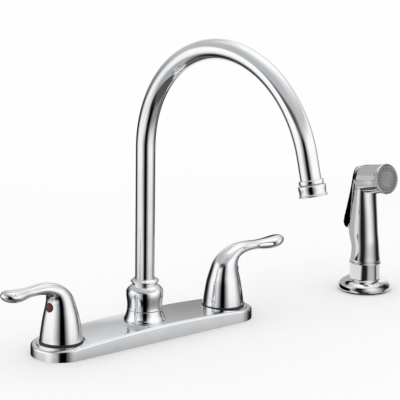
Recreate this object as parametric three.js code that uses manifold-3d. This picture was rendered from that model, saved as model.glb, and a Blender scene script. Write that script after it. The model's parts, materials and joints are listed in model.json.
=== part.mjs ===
// Two handle kitchen faucet with a high gooseneck spout and a side spray, as separate pieces.
// Millimetres, +Z up. The origin lies on the sink deck at the centre hole. +X runs to the cold
// handle and -Y to the user. Both handles are closed and the spout points straight at the user.
import * as THREE from 'three';
import { mergeVertices } from 'three/addons/utils/BufferGeometryUtils.js';
import Module from 'manifold-3d';

const wasm = await Module();
wasm.setup();

// ---- driving dimensions ----

const gap = 0.3; // clearance between pieces that turn, slide or plug together
const deckThickness = 18; // sink deck, between the gaskets and the lock nuts
const gasketThickness = 2;
const valveSpread = 203.2; // between the valve centres: the 8 inch hole spacing
const leverForwardDeg = { hot: 7.5, cold: 4 }; // closed levers stand this far forward of straight out
const spoutTurnDeg = 3.25; // the spout rests this far to the user's right of straight ahead
const wideSides = 20; // facets round a piece that shows
const plainSides = 16; // facets round a hidden piece
const smallSides = 12; // facets round a bore or a small piece

const plate = {
  halfLength: 131,
  halfWidth: 29.3,
  cornerRadius: 28.6,
  crownHeight: 16.2, // top of the arch, at the middle
  archDrop: 6.2, // how far the arch has come down at the plate's ends
  wall: 2.4,
  edgeRound: 2.4,
  seatHeight: 12.4, // level seats for the handles
  seatRadius: 23.2,
};

const shank = { radius: 10.3, bore: 6.2, length: 52, reliefDepth: 1.2, reliefLength: 4 };

const valve = {
  blockRadius: 16,
  neckRadius: 12.8,
  neckTop: 24,
  chamberRadius: 9.4,
  floorHeight: 4, // chamber floor, where the seat seal lies
  inletRadius: 3.2,
};

const headwork = {
  barrelWall: 1.4,
  threadWall: 1.5, // how much the thread stands out past the barrel
  hexAcross: 20,
  hexHeight: 6.3,
  towerRadius: 6.6,
  towerTop: 38,
  sealThickness: 2.2,
  sealWall: 3.6,
  discThickness: 2.3,
  windowHeight: 2.6,
  windowWidth: 7,
};

const stem = { radius: 4.3, flangeThickness: 1.8, splineRadius: 4, toothDepth: 0.45, teeth: 10, top: 53 };
const stemSeal = { wire: 0.55, height: 30 };

const crossover = { radius: 3.6, wall: 1, height: 6, plugDepth: 3 };

const seatRing = { radius: 21.5, thickness: 2 };
const plateNut = { across: 30, height: 3.6 };
const deckWasher = { radius: 19, thickness: 2 };
const deckNut = { across: 30, height: 8 };

const handle = {
  baseRadius: 21.3,
  skirtRadius: 19.3, // bell radius a quarter of the way up
  shoulderRadius: 15.7, // bell radius half way up, where the lever starts to lean out
  height: 61.3, // bell rim to the top of the lever
  reach: 75.5, // valve axis to the lever's tip
  waistHalfWidth: 6.6,
  waistDepth: 9.7,
  paddleHalfWidth: 10,
  paddleDepth: 12.6,
  wall: 2.3,
  cavityHeight: 29.3, // bell rim to the cavity's ceiling
  bossRadius: 7.6,
  bossLength: 4,
  sides: 16,
};

const button = { radius: 4.5, height: 32, depth: 3.2, crown: 2.2, tiltDeg: 9 };
const setScrew = { radius: 2.4, length: 6, socketAcross: 2.5, socketDepth: 3 };

const hub = {
  ringRadius: 20.7,
  ringHeight: 10.8,
  skirtRadius: 16.9,
  rimRadius: 17.4,
  shoulderRadius: 18.5,
  shoulderHeight: 16.2, // nut's lower edge to its widest part
  neckRadius: 12.2,
  neckHeight: 25,
  beadRadius: 14.1,
  nutHeight: 31,
  cavityHeight: 15.8,
  wall: 1.4,
};

const spoutBody = { blockRadius: 17.5, blockHeight: 12.5, chamberRadius: 5.5, chamberFloor: 5 };
const hoseOutlet = { radius: 6.6, bore: 3.6, length: 34 };

const spout = {
  radius: 9.6,
  wall: 1.2,
  riserTop: 189.5,
  bendRadius: 111,
  bendDeg: 165.6,
  tailLength: 19.7,
  bendSteps: 20,
  sides: 20,
  boreSides: 8,
  neckClearance: 0.5,
};

const spigot = { wall: 2.2, lip: 1.7, depth: 17.5, flangeThickness: 1.8, grooveDepth: 1.5 };
const spigotSeal = { wire: 0.75, lowerHeight: 4, upperHeight: 10.5 };
const glideRing = { thickness: 1.2 };

const diverter = { stemRadius: 2.2, discThickness: 1.6, bottom: 8, top: 18 };

const collar = { radius: 11.4, height: 4.3, threadLength: 4.7, plug: 3.3, bevel: 0.6 };
const aerator = { radius: 12.8, height: 10.5, rimRadius: 13.1, rimHeight: 1.2, lip: 1.2, wall: 2.3 };
const aeratorGrid = { thickness: 2.9, holeRadius: 1.25, pitch: 3.6 };
const aeratorWasher = { thickness: 1.1, width: 2.6 };

const sprayPlace = { x: 288, y: -14.3 }; // the side spray's own hole in the deck
const holder = {
  flangeRadius: 28.2,
  rimThickness: 2,
  footHeight: 13, // deck to where the flange has swept up into the cup
  cupRadius: 16.4,
  lipRadius: 17,
  cupTop: 31.2,
  wall: 2.4,
  plugRoom: 0.4, // what the cup's bore gives the wand's plug over the wall
};
// The holder's shank drops through the cup and hangs there by its collar.
const holderShank = { boreRadius: 10.4, wall: 2.1, length: 38, collarTop: 12, collarThickness: 2.7, collarInset: 0.4 };
const holderGasket = { thickness: 1.5, inset: 1.8 };
const holderNut = { across: 36, height: 8 };

const wand = {
  footRadius: 16.1,
  waistRadius: 14.8,
  waistHeight: 14.5, // foot to where the grip is round and plain
  // The grip leans back from its waist: depths in front of and behind the foot's axis.
  humpHeight: 65, // where the grip's back stands out furthest, under the trigger's tip
  humpFront: 12.8,
  humpBack: 20,
  neckHeight: 103,
  neckFront: 8.5,
  neckBack: 14.2,
  neckHalfWidth: 12.8,
  headHeight: 120.2, // where the head's axis crosses the foot's axis
  headRadius: 15.4,
  headTiltDeg: 11,
  headReach: 25.8,
  headBack: 14,
  plugDepth: 17,
  plugTaper: 1,
  waterway: 4.2,
};
const nozzle = { rimRadius: 16.1, rimLength: 3.3, faceRadius: 14, thickness: 2.6 };
const sprayHoles = { count: 24, radius: 0.55, circle: 11.6 };
const centreDisc = { radius: 8.9, depth: 1 };
const nipple = { threadRadius: 6, threadLength: 13, tailRadius: 5, tailLength: 9, bore: 3 };

const trigger = {
  pivotY: 8.5,
  pivotZ: 126.5,
  earRadius: 3.7,
  halfWidth: 8,
  thickness: 2,
  sideWall: 1.6,
  sideDepth: 10.1, // the folded sides' depth at the tip
  tipY: 27.3,
  tipZ: 69.5,
  pressDeg: 5,
};
const pocket = { floor: 2.5, end: 66 }; // the trigger's pocket: floor behind the pivot, and its end below it
const triggerPin = { radius: 1.2, halfLength: 10.6 };
const plunger = { height: 104, travel: 2.4, rodRadius: 1.8, headRadius: 3.8, headThickness: 2.5, headY: 5 };
const springCoil = { wire: 0.4, turns: 5, seatY: -6 };

// ---- derived places ----

const valveX = valveSpread / 2;
const seatRingTop = plate.seatHeight + seatRing.thickness;
const bellBottom = seatRingTop + gap;
const hubBore = hub.skirtRadius - hub.wall;
const nutBottom = plate.crownHeight + hub.ringHeight + gap;
const nutCeiling = nutBottom + hub.cavityHeight;
const flangeTop = nutCeiling - gap;
const flangeBottom = flangeTop - spigot.flangeThickness;
const socketRim = flangeBottom - gap - glideRing.thickness;
const spigotRadius = spout.radius + gap + spigot.wall;
const socketRadius = spigotRadius + gap;
const spigotBottom = socketRim - spigot.depth;
const tubeBottom = spigotBottom + spigot.lip + gap;
const socketFloor = spigotBottom - 2;
const barrelRadius = valve.chamberRadius - gap - headwork.threadWall;
const discRadius = barrelRadius - headwork.barrelWall - gap;
const stemBore = stem.radius + gap;
const spoutEndTurn = THREE.MathUtils.degToRad(180 - spout.bendDeg);

// ---- finishes ----

const finish = (color, roughness, metalness) => new THREE.MeshStandardMaterial({ color, roughness, metalness });
const chrome = finish(0xdfe2e6, 0.06, 1);
const brass = finish(0xc9a552, 0.3, 1);
const copper = finish(0xc07a4d, 0.3, 1);
const steel = finish(0xb5b8bb, 0.3, 1);
const blackPlastic = finish(0x15161a, 0.4, 0);
const whitePlastic = finish(0xe9e9e4, 0.45, 0);
const greyPlastic = finish(0x8f9194, 0.45, 0);
const rubber = finish(0x1d1d1f, 0.8, 0);
const ceramic = finish(0xe8ded0, 0.2, 0);
const redPlastic = finish(0x8e2a2e, 0.35, 0);
const bluePlastic = finish(0x2c4f8e, 0.35, 0);

// ---- solids ----

// Merges shared vertices and drops the triangles that collapse, so the surface is closed.
function welded(geometry) {
  const loose = geometry.index ? geometry.toNonIndexed() : geometry;
  const bare = new THREE.BufferGeometry();
  bare.setAttribute('position', loose.getAttribute('position').clone());
  const merged = mergeVertices(bare, 1e-4);
  const corners = [];
  for (let i = 0; i < merged.index.count; i += 3) {
    const [a, b, c] = [0, 1, 2].map((k) => merged.index.getX(i + k));
    if (a !== b && b !== c && c !== a) corners.push(a, b, c);
  }
  return { points: merged.getAttribute('position').array, corners: new Uint32Array(corners) };
}

function solid(geometry) {
  const { points, corners } = welded(geometry);
  const build = (triVerts) => new wasm.Manifold(new wasm.Mesh({ numProp: 3, vertProperties: points, triVerts }));
  const made = build(corners);
  return made.volume() > 0 ? made : build(corners.slice().reverse());
}

function geometryOf(body) {
  const { vertProperties, triVerts } = body.getMesh();
  const geometry = new THREE.BufferGeometry();
  geometry.setAttribute('position', new THREE.BufferAttribute(new Float32Array(vertProperties), 3));
  geometry.setIndex(new THREE.BufferAttribute(new Uint32Array(triVerts), 1));
  geometry.computeVertexNormals();
  return geometry;
}

const joined = (...bodies) => bodies.reduce((whole, body) => whole.add(body));
const cut = (body, ...tools) => tools.reduce((rest, tool) => rest.subtract(tool), body);
const moved = (body, x, y, z) => body.translate([x, y, z]);

// Turns an outline of [radius, height] pairs about Z. The outline closes on itself.
function revolve(outline, sides = smallSides) {
  const points = outline.map(([radius, height]) => new THREE.Vector2(radius, height));
  points.push(points[0].clone());
  return solid(new THREE.LatheGeometry(points, sides).rotateX(Math.PI / 2));
}

const rod = (radius, bottom, top, sides = smallSides) =>
  revolve([[0, bottom], [radius, bottom], [radius, top], [0, top]], sides);

const ring = (inner, outer, bottom, top, sides = smallSides) =>
  revolve([[inner, bottom], [outer, bottom], [outer, top], [inner, top]], sides);

// A ring round Z of round wire, such as an O-ring.
function wireRing(radius, wire, height, sides = smallSides) {
  const wireSides = 5;
  return moved(solid(new THREE.TorusGeometry(radius, wire, wireSides, sides)), 0, 0, height);
}

function block(width, depth, bottom, top) {
  const height = top - bottom;
  return moved(solid(new THREE.BoxGeometry(width, depth, height)), 0, 0, bottom + height / 2);
}

function extrude(shape, bottom, top, curveSegments = smallSides) {
  const options = { depth: top - bottom, bevelEnabled: false, curveSegments };
  return moved(solid(new THREE.ExtrudeGeometry(shape, options)), 0, 0, bottom);
}

const circlePoints = (count, radius, x = 0, y = 0, start = 0) =>
  Array.from({ length: count }, (_, i) => {
    const angle = start + (i * 2 * Math.PI) / count;
    return new THREE.Vector2(x + radius * Math.cos(angle), y + radius * Math.sin(angle));
  });

// A hexagon bar measured across its flats.
function hexBar(across, bottom, top) {
  const hexSides = 6;
  return extrude(new THREE.Shape(circlePoints(hexSides, across / Math.sqrt(3))), bottom, top);
}

// Lays a body that stands along Z so that it points along +X or +Y.
const alongX = (body) => body.rotate([0, 90, 0]);
const alongY = (body) => body.rotate([-90, 0, 0]);

// Joins rings of as many points each with quads. Both ends are closed by strips from one
// half of the ring to the other, so an arched end stays arched.
function loft(rings) {
  const count = rings[0].length;
  const points = rings.flat().flatMap((point) => point.toArray());
  const corners = [];
  const quad = (a, b, c, d) => corners.push(a, b, c, a, c, d);
  for (let level = 0; level + 1 < rings.length; level++) {
    for (let i = 0; i < count; i++) {
      const next = (i + 1) % count;
      const low = level * count;
      quad(low + i, low + next, low + count + next, low + count + i);
    }
  }
  const top = (rings.length - 1) * count;
  for (let i = 0; i + 1 < count / 2; i++) {
    quad(i + 1, i, count - 1 - i, count - 2 - i);
    quad(top + i, top + i + 1, top + count - 2 - i, top + count - 1 - i);
  }
  const geometry = new THREE.BufferGeometry();
  geometry.setAttribute('position', new THREE.Float32BufferAttribute(points, 3));
  geometry.setIndex(corners);
  return solid(geometry);
}

// Samples a path of lines and curves as [x, y] pairs.
const outlineOf = (path, divisions) => path.getPoints(divisions).map((point) => [point.x, point.y]);

const faucet = new THREE.Group();

function addPiece(parent, name, body, material) {
  const mesh = new THREE.Mesh(geometryOf(body), material);
  mesh.name = name;
  parent.add(mesh);
}

// ---- deck plate and gasket ----

const archHeight = (x) => plate.crownHeight - plate.archDrop * (x / plate.halfLength) ** 2;

// The plate's outline drawn in by inset: the half with y > 0, from +x to -x, then its mirror image.
function plateOutline(inset) {
  const cornerSteps = 5;
  const straightSteps = 6;
  const radius = plate.cornerRadius - inset;
  const cornerX = plate.halfLength - plate.cornerRadius;
  const cornerY = plate.halfWidth - plate.cornerRadius;
  const half = [];
  for (let i = 0; i <= cornerSteps; i++) {
    const angle = (i * Math.PI) / 2 / cornerSteps;
    half.push([cornerX + radius * Math.cos(angle), cornerY + radius * Math.sin(angle)]);
  }
  for (let i = 1; i < straightSteps; i++) half.push([cornerX * (1 - (2 * i) / straightSteps), cornerY + radius]);
  for (let i = 0; i <= cornerSteps; i++) half.push([-half[cornerSteps - i][0], half[cornerSteps - i][1]]);
  return [...half, ...half.map(([x, y]) => [x, -y]).reverse()];
}

const levelRing = (inset, height) => plateOutline(inset).map(([x, y]) => new THREE.Vector3(x, y, height));
const archedRing = (inset, drop) => plateOutline(inset).map(([x, y]) => new THREE.Vector3(x, y, archHeight(x) - drop));

function deckPlate() {
  const roundSteps = 3;
  const rings = [levelRing(0, 0)];
  for (let i = 0; i <= roundSteps; i++) {
    const angle = (i * Math.PI) / 2 / roundSteps;
    const inset = plate.edgeRound * (1 - Math.cos(angle));
    rings.push(archedRing(inset, plate.edgeRound * (1 - Math.sin(angle))));
  }
  const outer = loft(rings);
  const hollow = loft([levelRing(plate.wall, -1), archedRing(plate.wall, plate.wall)]);
  const seatUnder = plate.seatHeight - plate.wall;
  let shell = cut(outer, hollow);
  for (const x of [-valveX, valveX]) {
    const boss = rod(plate.seatRadius + plate.wall / 2, seatUnder, plate.seatHeight, wideSides);
    const spotFace = rod(plate.seatRadius, plate.seatHeight, plate.crownHeight + 1, wideSides);
    const hole = rod(valve.neckRadius + gap, 0, plate.crownHeight + 1, wideSides);
    const blockRoom = rod(valve.blockRadius + gap, 0, seatUnder, wideSides);
    shell = cut(joined(shell, moved(boss, x, 0, 0)), moved(joined(spotFace, hole, blockRoom), x, 0, 0));
  }
  return cut(shell, rod(hubBore, 0, plate.crownHeight + 1, wideSides));
}

function baseGasket() {
  const inset = plate.wall + gap;
  const sheet = loft([levelRing(inset, 0), levelRing(inset, gasketThickness)]);
  const shankHole = rod(shank.radius + gap, -1, gasketThickness + 1, plainSides);
  const outletHole = rod(hoseOutlet.radius + gap, -1, gasketThickness + 1);
  return cut(sheet, moved(shankHole, -valveX, 0, 0), moved(shankHole, valveX, 0, 0), outletHole);
}

addPiece(faucet, 'deck_plate', deckPlate(), chrome);
addPiece(faucet, 'base_gasket', baseGasket(), rubber);

// ---- centre body, with the spout's socket, the diverter chamber and the hose outlet ----

function centreBody() {
  const neckRadius = hubBore - gap;
  const outer = revolve(
    [
      [0, -hoseOutlet.length],
      [hoseOutlet.radius, -hoseOutlet.length],
      [hoseOutlet.radius, gasketThickness],
      [spoutBody.blockRadius, gasketThickness],
      [spoutBody.blockRadius, spoutBody.blockHeight],
      [neckRadius, spoutBody.blockHeight],
      [neckRadius, socketRim],
      [0, socketRim],
    ],
    smallSides
  );
  const outletBore = [
    [0, -hoseOutlet.length - 1],
    [hoseOutlet.bore, -hoseOutlet.length - 1],
    [hoseOutlet.bore, spoutBody.chamberFloor],
    [spoutBody.chamberRadius, spoutBody.chamberFloor],
    [spoutBody.chamberRadius, socketFloor + 1],
    [0, socketFloor + 1],
  ];
  const socket = rod(socketRadius, socketFloor, socketRim + 1, wideSides);
  const waterway = joined(revolve(outletBore, smallSides), socket);
  const bore = crossover.radius - crossover.wall;
  const port = alongX(rod(bore, -spoutBody.blockRadius, spoutBody.blockRadius));
  const plugStart = spoutBody.blockRadius - crossover.plugDepth;
  const plugHole = alongX(rod(crossover.radius + gap, plugStart, spoutBody.blockRadius + 1));
  const ports = joined(port, plugHole, plugHole.mirror([1, 0, 0]));
  return cut(outer, waterway, moved(ports, 0, 0, crossover.height));
}

addPiece(faucet, 'spout_body', centreBody(), brass);

function crossoverTube() {
  const start = spoutBody.blockRadius - crossover.plugDepth + gap;
  const end = valveX - valve.blockRadius + crossover.plugDepth - gap;
  return moved(alongX(ring(crossover.radius - crossover.wall, crossover.radius, start, end)), 0, 0, crossover.height);
}

addPiece(faucet, 'crossover_tube_cold', crossoverTube(), copper);
addPiece(faucet, 'crossover_tube_hot', crossoverTube().mirror([1, 0, 0]), copper);

// ---- hub: base ring, bell nut and glide ring ----

function hubBaseRing() {
  const bottom = plate.crownHeight;
  const top = bottom + hub.ringHeight;
  const outer = new THREE.Path()
    .moveTo(hubBore, bottom)
    .lineTo(hub.ringRadius, bottom)
    .lineTo(hub.ringRadius, bottom + 0.12 * hub.ringHeight)
    .quadraticCurveTo(hub.rimRadius + 0.6, bottom + 0.55 * hub.ringHeight, hub.rimRadius, top)
    .lineTo(hubBore, top);
  return revolve(outlineOf(outer, 4), wideSides);
}

function hubNut() {
  const { skirtRadius, rimRadius, shoulderRadius, neckRadius, beadRadius } = hub;
  const shoulder = nutBottom + hub.shoulderHeight;
  const neck = nutBottom + hub.neckHeight;
  const top = nutBottom + hub.nutHeight;
  const rimHeight = 1.2;
  const neckBore = spout.radius + spout.neckClearance;
  const outer = new THREE.Path()
    .moveTo(rimRadius, nutBottom)
    .lineTo(rimRadius, nutBottom + rimHeight)
    .lineTo(skirtRadius, nutBottom + rimHeight + rimRadius - skirtRadius)
    .bezierCurveTo(skirtRadius, shoulder - 8, shoulderRadius, shoulder - 5, shoulderRadius, shoulder)
    .bezierCurveTo(shoulderRadius, shoulder + 4.5, neckRadius + 3, neck - 2, neckRadius, neck)
    .quadraticCurveTo(neckRadius, neck + 1.2, beadRadius - 0.3, neck + 2.6)
    .quadraticCurveTo(beadRadius + 0.2, neck + 3.9, beadRadius - 1.2, neck + 4.6)
    .lineTo(neckBore + 1, top)
    .lineTo(neckBore, top)
    .lineTo(neckBore, nutCeiling)
    .lineTo(hubBore, nutCeiling)
    .lineTo(hubBore, nutBottom);
  return revolve(outlineOf(outer, 3), wideSides);
}

addPiece(faucet, 'spout_base_ring', hubBaseRing(), chrome);
addPiece(faucet, 'spout_nut', hubNut(), chrome);
const glideTop = socketRim + glideRing.thickness;
const glideBody = ring(spigotRadius + gap, hubBore - gap, socketRim, glideTop, plainSides);
addPiece(faucet, 'spout_glide_ring', glideBody, whitePlastic);

// ---- valves: body, seals, ceramic discs, cartridge, nuts and washers ----

function valveBody(portSide) {
  const relief = shank.radius - shank.reliefDepth;
  const outer = revolve(
    [
      [0, -shank.length],
      [shank.radius, -shank.length],
      [shank.radius, -shank.reliefLength],
      [relief, -shank.reliefLength],
      [relief, gasketThickness],
      [valve.blockRadius, gasketThickness],
      [valve.blockRadius, plate.seatHeight - plate.wall - gap],
      [valve.neckRadius, plate.seatHeight - plate.wall - gap],
      [valve.neckRadius, valve.neckTop],
      [0, valve.neckTop],
    ],
    smallSides
  );
  const waterway = revolve([
    [0, -shank.length - 1],
    [shank.bore, -shank.length - 1],
    [shank.bore, 0],
    [valve.inletRadius, 0],
    [valve.inletRadius, valve.floorHeight],
    [valve.chamberRadius, valve.floorHeight],
    [valve.chamberRadius, valve.neckTop + 1],
    [0, valve.neckTop + 1],
  ]);
  const outlet = alongX(rod(crossover.radius - crossover.wall, 0, valve.blockRadius));
  const plugStart = valve.blockRadius - crossover.plugDepth;
  const plugHole = alongX(rod(crossover.radius + gap, plugStart, valve.blockRadius + 1));
  const outletAbove = cut(joined(outlet, plugHole), rod(valve.chamberRadius - 1, -9, 9));
  const drilled = portSide > 0 ? outletAbove : outletAbove.mirror([1, 0, 0]);
  return cut(outer, waterway, moved(drilled, 0, 0, crossover.height));
}

const sealTop = valve.floorHeight + headwork.sealThickness;
const barrelBottom = sealTop + gap;
const fixedDiscTop = barrelBottom + headwork.discThickness;
const movingDiscBottom = fixedDiscTop + 0.1;
const movingDiscTop = movingDiscBottom + headwork.discThickness;
const stemBottom = movingDiscTop + 0.1;
const stemFlangeTop = stemBottom + stem.flangeThickness;
const barrelCeiling = stemFlangeTop + gap;

function cartridgeBody() {
  const threadRadius = valve.chamberRadius - gap;
  const threadBottom = barrelCeiling + 1;
  const outer = revolve([
    [0, barrelBottom],
    [barrelRadius, barrelBottom],
    [barrelRadius, threadBottom],
    [threadRadius, threadBottom],
    [threadRadius, valve.neckTop],
    [headwork.towerRadius, valve.neckTop],
    [headwork.towerRadius, headwork.towerTop],
    [0, headwork.towerTop],
  ]);
  const hex = hexBar(headwork.hexAcross, valve.neckTop, valve.neckTop + headwork.hexHeight);
  const cavity = revolve([
    [0, barrelBottom - 1],
    [discRadius + gap, barrelBottom - 1],
    [discRadius + gap, barrelCeiling],
    [stemBore, barrelCeiling],
    [stemBore, headwork.towerTop + 1],
    [0, headwork.towerTop + 1],
  ]);
  const windowBottom = movingDiscBottom;
  const window = block(headwork.windowWidth, 2 * barrelRadius + 1, windowBottom, windowBottom + headwork.windowHeight);
  return cut(joined(outer, hex), cavity, window);
}

// A ceramic disc with its two quarter ports.
function ceramicDisc(bottom, top) {
  const portInner = 1.4;
  const portOuter = discRadius - 1.2;
  const quarter = (start) =>
    new THREE.Shape()
      .absarc(0, 0, portOuter, start, start + Math.PI / 2, false)
      .absarc(0, 0, portInner, start + Math.PI / 2, start, true);
  const port = extrude(quarter(-Math.PI / 4), bottom - 1, top + 1, 3);
  return cut(rod(discRadius, bottom, top), port, port.mirror([1, 0, 0]));
}

// The stem's toothed end, as a star outline.
function splineShape() {
  const points = circlePoints(2 * stem.teeth, stem.splineRadius);
  points.forEach((point, i) => point.setLength(stem.splineRadius - (i % 2 ? stem.toothDepth : 0)));
  return new THREE.Shape(points);
}

function valveStem() {
  const grooveRadius = stem.radius - 2 * stemSeal.wire + gap / 2;
  const grooveHalf = stemSeal.wire + 0.2;
  const flange = rod(discRadius, stemBottom, stemFlangeTop);
  const shaft = revolve([
    [0, stemFlangeTop],
    [stem.radius, stemFlangeTop],
    [stem.radius, stemSeal.height - grooveHalf],
    [grooveRadius, stemSeal.height - grooveHalf],
    [grooveRadius, stemSeal.height + grooveHalf],
    [stem.radius, stemSeal.height + grooveHalf],
    [stem.radius, headwork.towerTop],
    [0, headwork.towerTop],
  ]);
  return joined(flange, shaft, extrude(splineShape(), headwork.towerTop, stem.top));
}

const stemSealRadius = stem.radius - stemSeal.wire + gap / 2;

function addValve(side, name) {
  const group = new THREE.Group();
  group.position.x = side * valveX;
  faucet.add(group);
  const nutTop = -deckThickness - deckWasher.thickness;
  const plateNutRing = cut(hexBar(plateNut.across, seatRingTop, seatRingTop + plateNut.height), neckClear());
  const lockNut = cut(hexBar(deckNut.across, nutTop - deckNut.height, nutTop), rod(shank.radius + gap, -99, 0, plainSides));
  const sealInner = valve.inletRadius + 0.2;
  const sealOuter = sealInner + headwork.sealWall;
  addPiece(group, `valve_body_${name}`, valveBody(-side), brass);
  addPiece(group, `seat_seal_${name}`, ring(sealInner, sealOuter, valve.floorHeight, sealTop), rubber);
  addPiece(group, `fixed_disc_${name}`, ceramicDisc(barrelBottom, fixedDiscTop), ceramic);
  addPiece(group, `cartridge_body_${name}`, cartridgeBody(), brass);
  addPiece(group, `seat_ring_${name}`, seatRingBody(), blackPlastic);
  addPiece(group, `plate_nut_${name}`, plateNutRing, brass);
  addPiece(group, `deck_washer_${name}`, ring(shank.radius + gap, deckWasher.radius, nutTop, -deckThickness, plainSides), steel);
  addPiece(group, `deck_nut_${name}`, lockNut, brass);
}

const neckClear = () => rod(valve.neckRadius + gap, 0, valve.neckTop, wideSides);

function seatRingBody() {
  const bevel = 0.5;
  return revolve(
    [
      [valve.neckRadius + gap, plate.seatHeight],
      [seatRing.radius, plate.seatHeight],
      [seatRing.radius, seatRingTop - bevel],
      [seatRing.radius - bevel, seatRingTop],
      [valve.neckRadius + gap, seatRingTop],
    ],
    wideSides
  );
}

addValve(-1, 'hot');
addValve(1, 'cold');

// ---- handles ----

// Cross-sections of the bell and its lever in the handle's own frame, where the lever runs along
// +X and heights are above the bell's rim. Each has its underside point, its top point and half its
// width. The bell's are level, and they lean over one by one until the lever's stand upright.
function handleStations() {
  const { baseRadius, skirtRadius, shoulderRadius, height, reach, waistDepth, paddleDepth } = handle;
  const { waistHalfWidth, paddleHalfWidth } = handle;
  const level = (radius, up) => ({ under: [radius, up], top: [-radius, up], half: radius });
  const leverMiddle = height - paddleDepth / 2 - 0.3;
  const waistUnder = height - 1.4 - waistDepth;
  return [
    level(baseRadius, 0),
    level(0.75 * baseRadius + 0.25 * skirtRadius, 0.09 * height),
    level(skirtRadius, 0.25 * height),
    level(0.55 * skirtRadius + 0.45 * shoulderRadius, 0.4 * height),
    { under: [shoulderRadius + 0.3, 0.51 * height], top: [-shoulderRadius + 0.5, 0.52 * height], half: shoulderRadius },
    { under: [0.95 * shoulderRadius, 0.61 * height], top: [-0.81 * shoulderRadius, 0.645 * height], half: 0.9 * shoulderRadius },
    { under: [0.94 * shoulderRadius, 0.685 * height], top: [-0.6 * shoulderRadius, 0.75 * height], half: 0.82 * shoulderRadius },
    { under: [0.21 * reach, 0.742 * height], top: [-0.052 * reach, 0.838 * height], half: 0.74 * shoulderRadius },
    { under: [0.252 * reach, 0.778 * height], top: [0.042 * reach, 0.914 * height], half: 0.65 * shoulderRadius },
    { under: [0.311 * reach, 0.797 * height], top: [0.159 * reach, 0.966 * height], half: 1.3 * waistHalfWidth },
    { under: [0.391 * reach, 0.815 * height], top: [0.298 * reach, 0.995 * height], half: 1.15 * waistHalfWidth },
    { under: [0.477 * reach, waistUnder], top: [0.45 * reach, waistUnder + 1.05 * waistDepth], half: 1.03 * waistHalfWidth },
    { under: [0.563 * reach, waistUnder], top: [0.563 * reach, waistUnder + waistDepth], half: waistHalfWidth },
    { under: [0.662 * reach, leverMiddle - 0.45 * paddleDepth], top: [0.662 * reach, leverMiddle + 0.45 * paddleDepth], half: 0.82 * paddleHalfWidth },
    { under: [0.768 * reach, leverMiddle - 0.5 * paddleDepth], top: [0.768 * reach, leverMiddle + 0.5 * paddleDepth], half: 0.99 * paddleHalfWidth },
    { under: [0.861 * reach, leverMiddle - 0.42 * paddleDepth], top: [0.861 * reach, leverMiddle + 0.57 * paddleDepth], half: paddleHalfWidth },
    { under: [0.934 * reach, leverMiddle - 0.26 * paddleDepth], top: [0.927 * reach, leverMiddle + 0.57 * paddleDepth], half: 0.8 * paddleHalfWidth },
    { under: [0.98 * reach, leverMiddle - 0.05 * paddleDepth], top: [0.977 * reach, leverMiddle + 0.46 * paddleDepth], half: 0.46 * paddleHalfWidth },
    { under: [reach, leverMiddle + 0.15 * paddleDepth], top: [reach - 0.2, leverMiddle + 0.26 * paddleDepth], half: 0.1 * paddleHalfWidth },
  ];
}

function handleRing({ under, top, half }) {
  const middle = new THREE.Vector3((under[0] + top[0]) / 2, 0, (under[1] + top[1]) / 2);
  const down = new THREE.Vector3(under[0], 0, under[1]).sub(middle);
  const across = new THREE.Vector3(0, half, 0);
  const halfStep = Math.PI / handle.sides;
  return Array.from({ length: handle.sides }, (_, i) => {
    const angle = halfStep + (i * 2 * Math.PI) / handle.sides;
    return middle.clone().addScaledVector(down, Math.cos(angle)).addScaledVector(across, Math.sin(angle));
  });
}

// Puts a body that stands on Z = 0 onto the button's line: out through the bell, under the lever.
function onButtonLine(body, tiltDeg) {
  return moved(alongX(body).rotate([0, -tiltDeg, 0]), 0, 0, button.height);
}

const buttonFront = handle.shoulderRadius - 0.1;
const buttonBack = buttonFront - button.depth;

function handleBody() {
  const { baseRadius, skirtRadius, wall, cavityHeight, bossRadius, bossLength } = handle;
  const outer = loft(handleStations().map(handleRing));
  const domeRadius = handle.shoulderRadius - wall;
  const cavity = revolve(
    [
      [0, -1],
      [baseRadius - wall, -1],
      [baseRadius - wall, 0],
      [skirtRadius - wall, 0.25 * handle.height],
      [domeRadius + 0.6, cavityHeight - 2.5],
      [domeRadius - 1.5, cavityHeight],
      [0, cavityHeight],
    ],
    handle.sides
  );
  const boss = rod(bossRadius, cavityHeight - bossLength, cavityHeight + 1);
  const socket = rod(stem.splineRadius + gap, 0, stem.top - bellBottom + 2);
  const screwHole = onButtonLine(rod(setScrew.radius + gap, 0, baseRadius), 0);
  const buttonSeat = onButtonLine(rod(button.radius + gap, buttonBack - gap, baseRadius + 5), button.tiltDeg);
  return cut(joined(cut(outer, cavity), boss), socket, screwHole, buttonSeat);
}

function setScrewBody() {
  const start = stem.splineRadius + gap;
  const end = start + setScrew.length;
  const key = hexBar(setScrew.socketAcross, end - setScrew.socketDepth, end + 1);
  return onButtonLine(cut(rod(setScrew.radius, start, end), key), 0);
}

function indexButton() {
  const outline = new THREE.Path()
    .moveTo(0, buttonBack)
    .lineTo(button.radius, buttonBack)
    .lineTo(button.radius, buttonFront)
    .quadraticCurveTo(button.radius - 0.8, buttonFront + button.crown, 0, buttonFront + button.crown);
  return onButtonLine(revolve(outlineOf(outline, 4)), button.tiltDeg);
}

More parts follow.
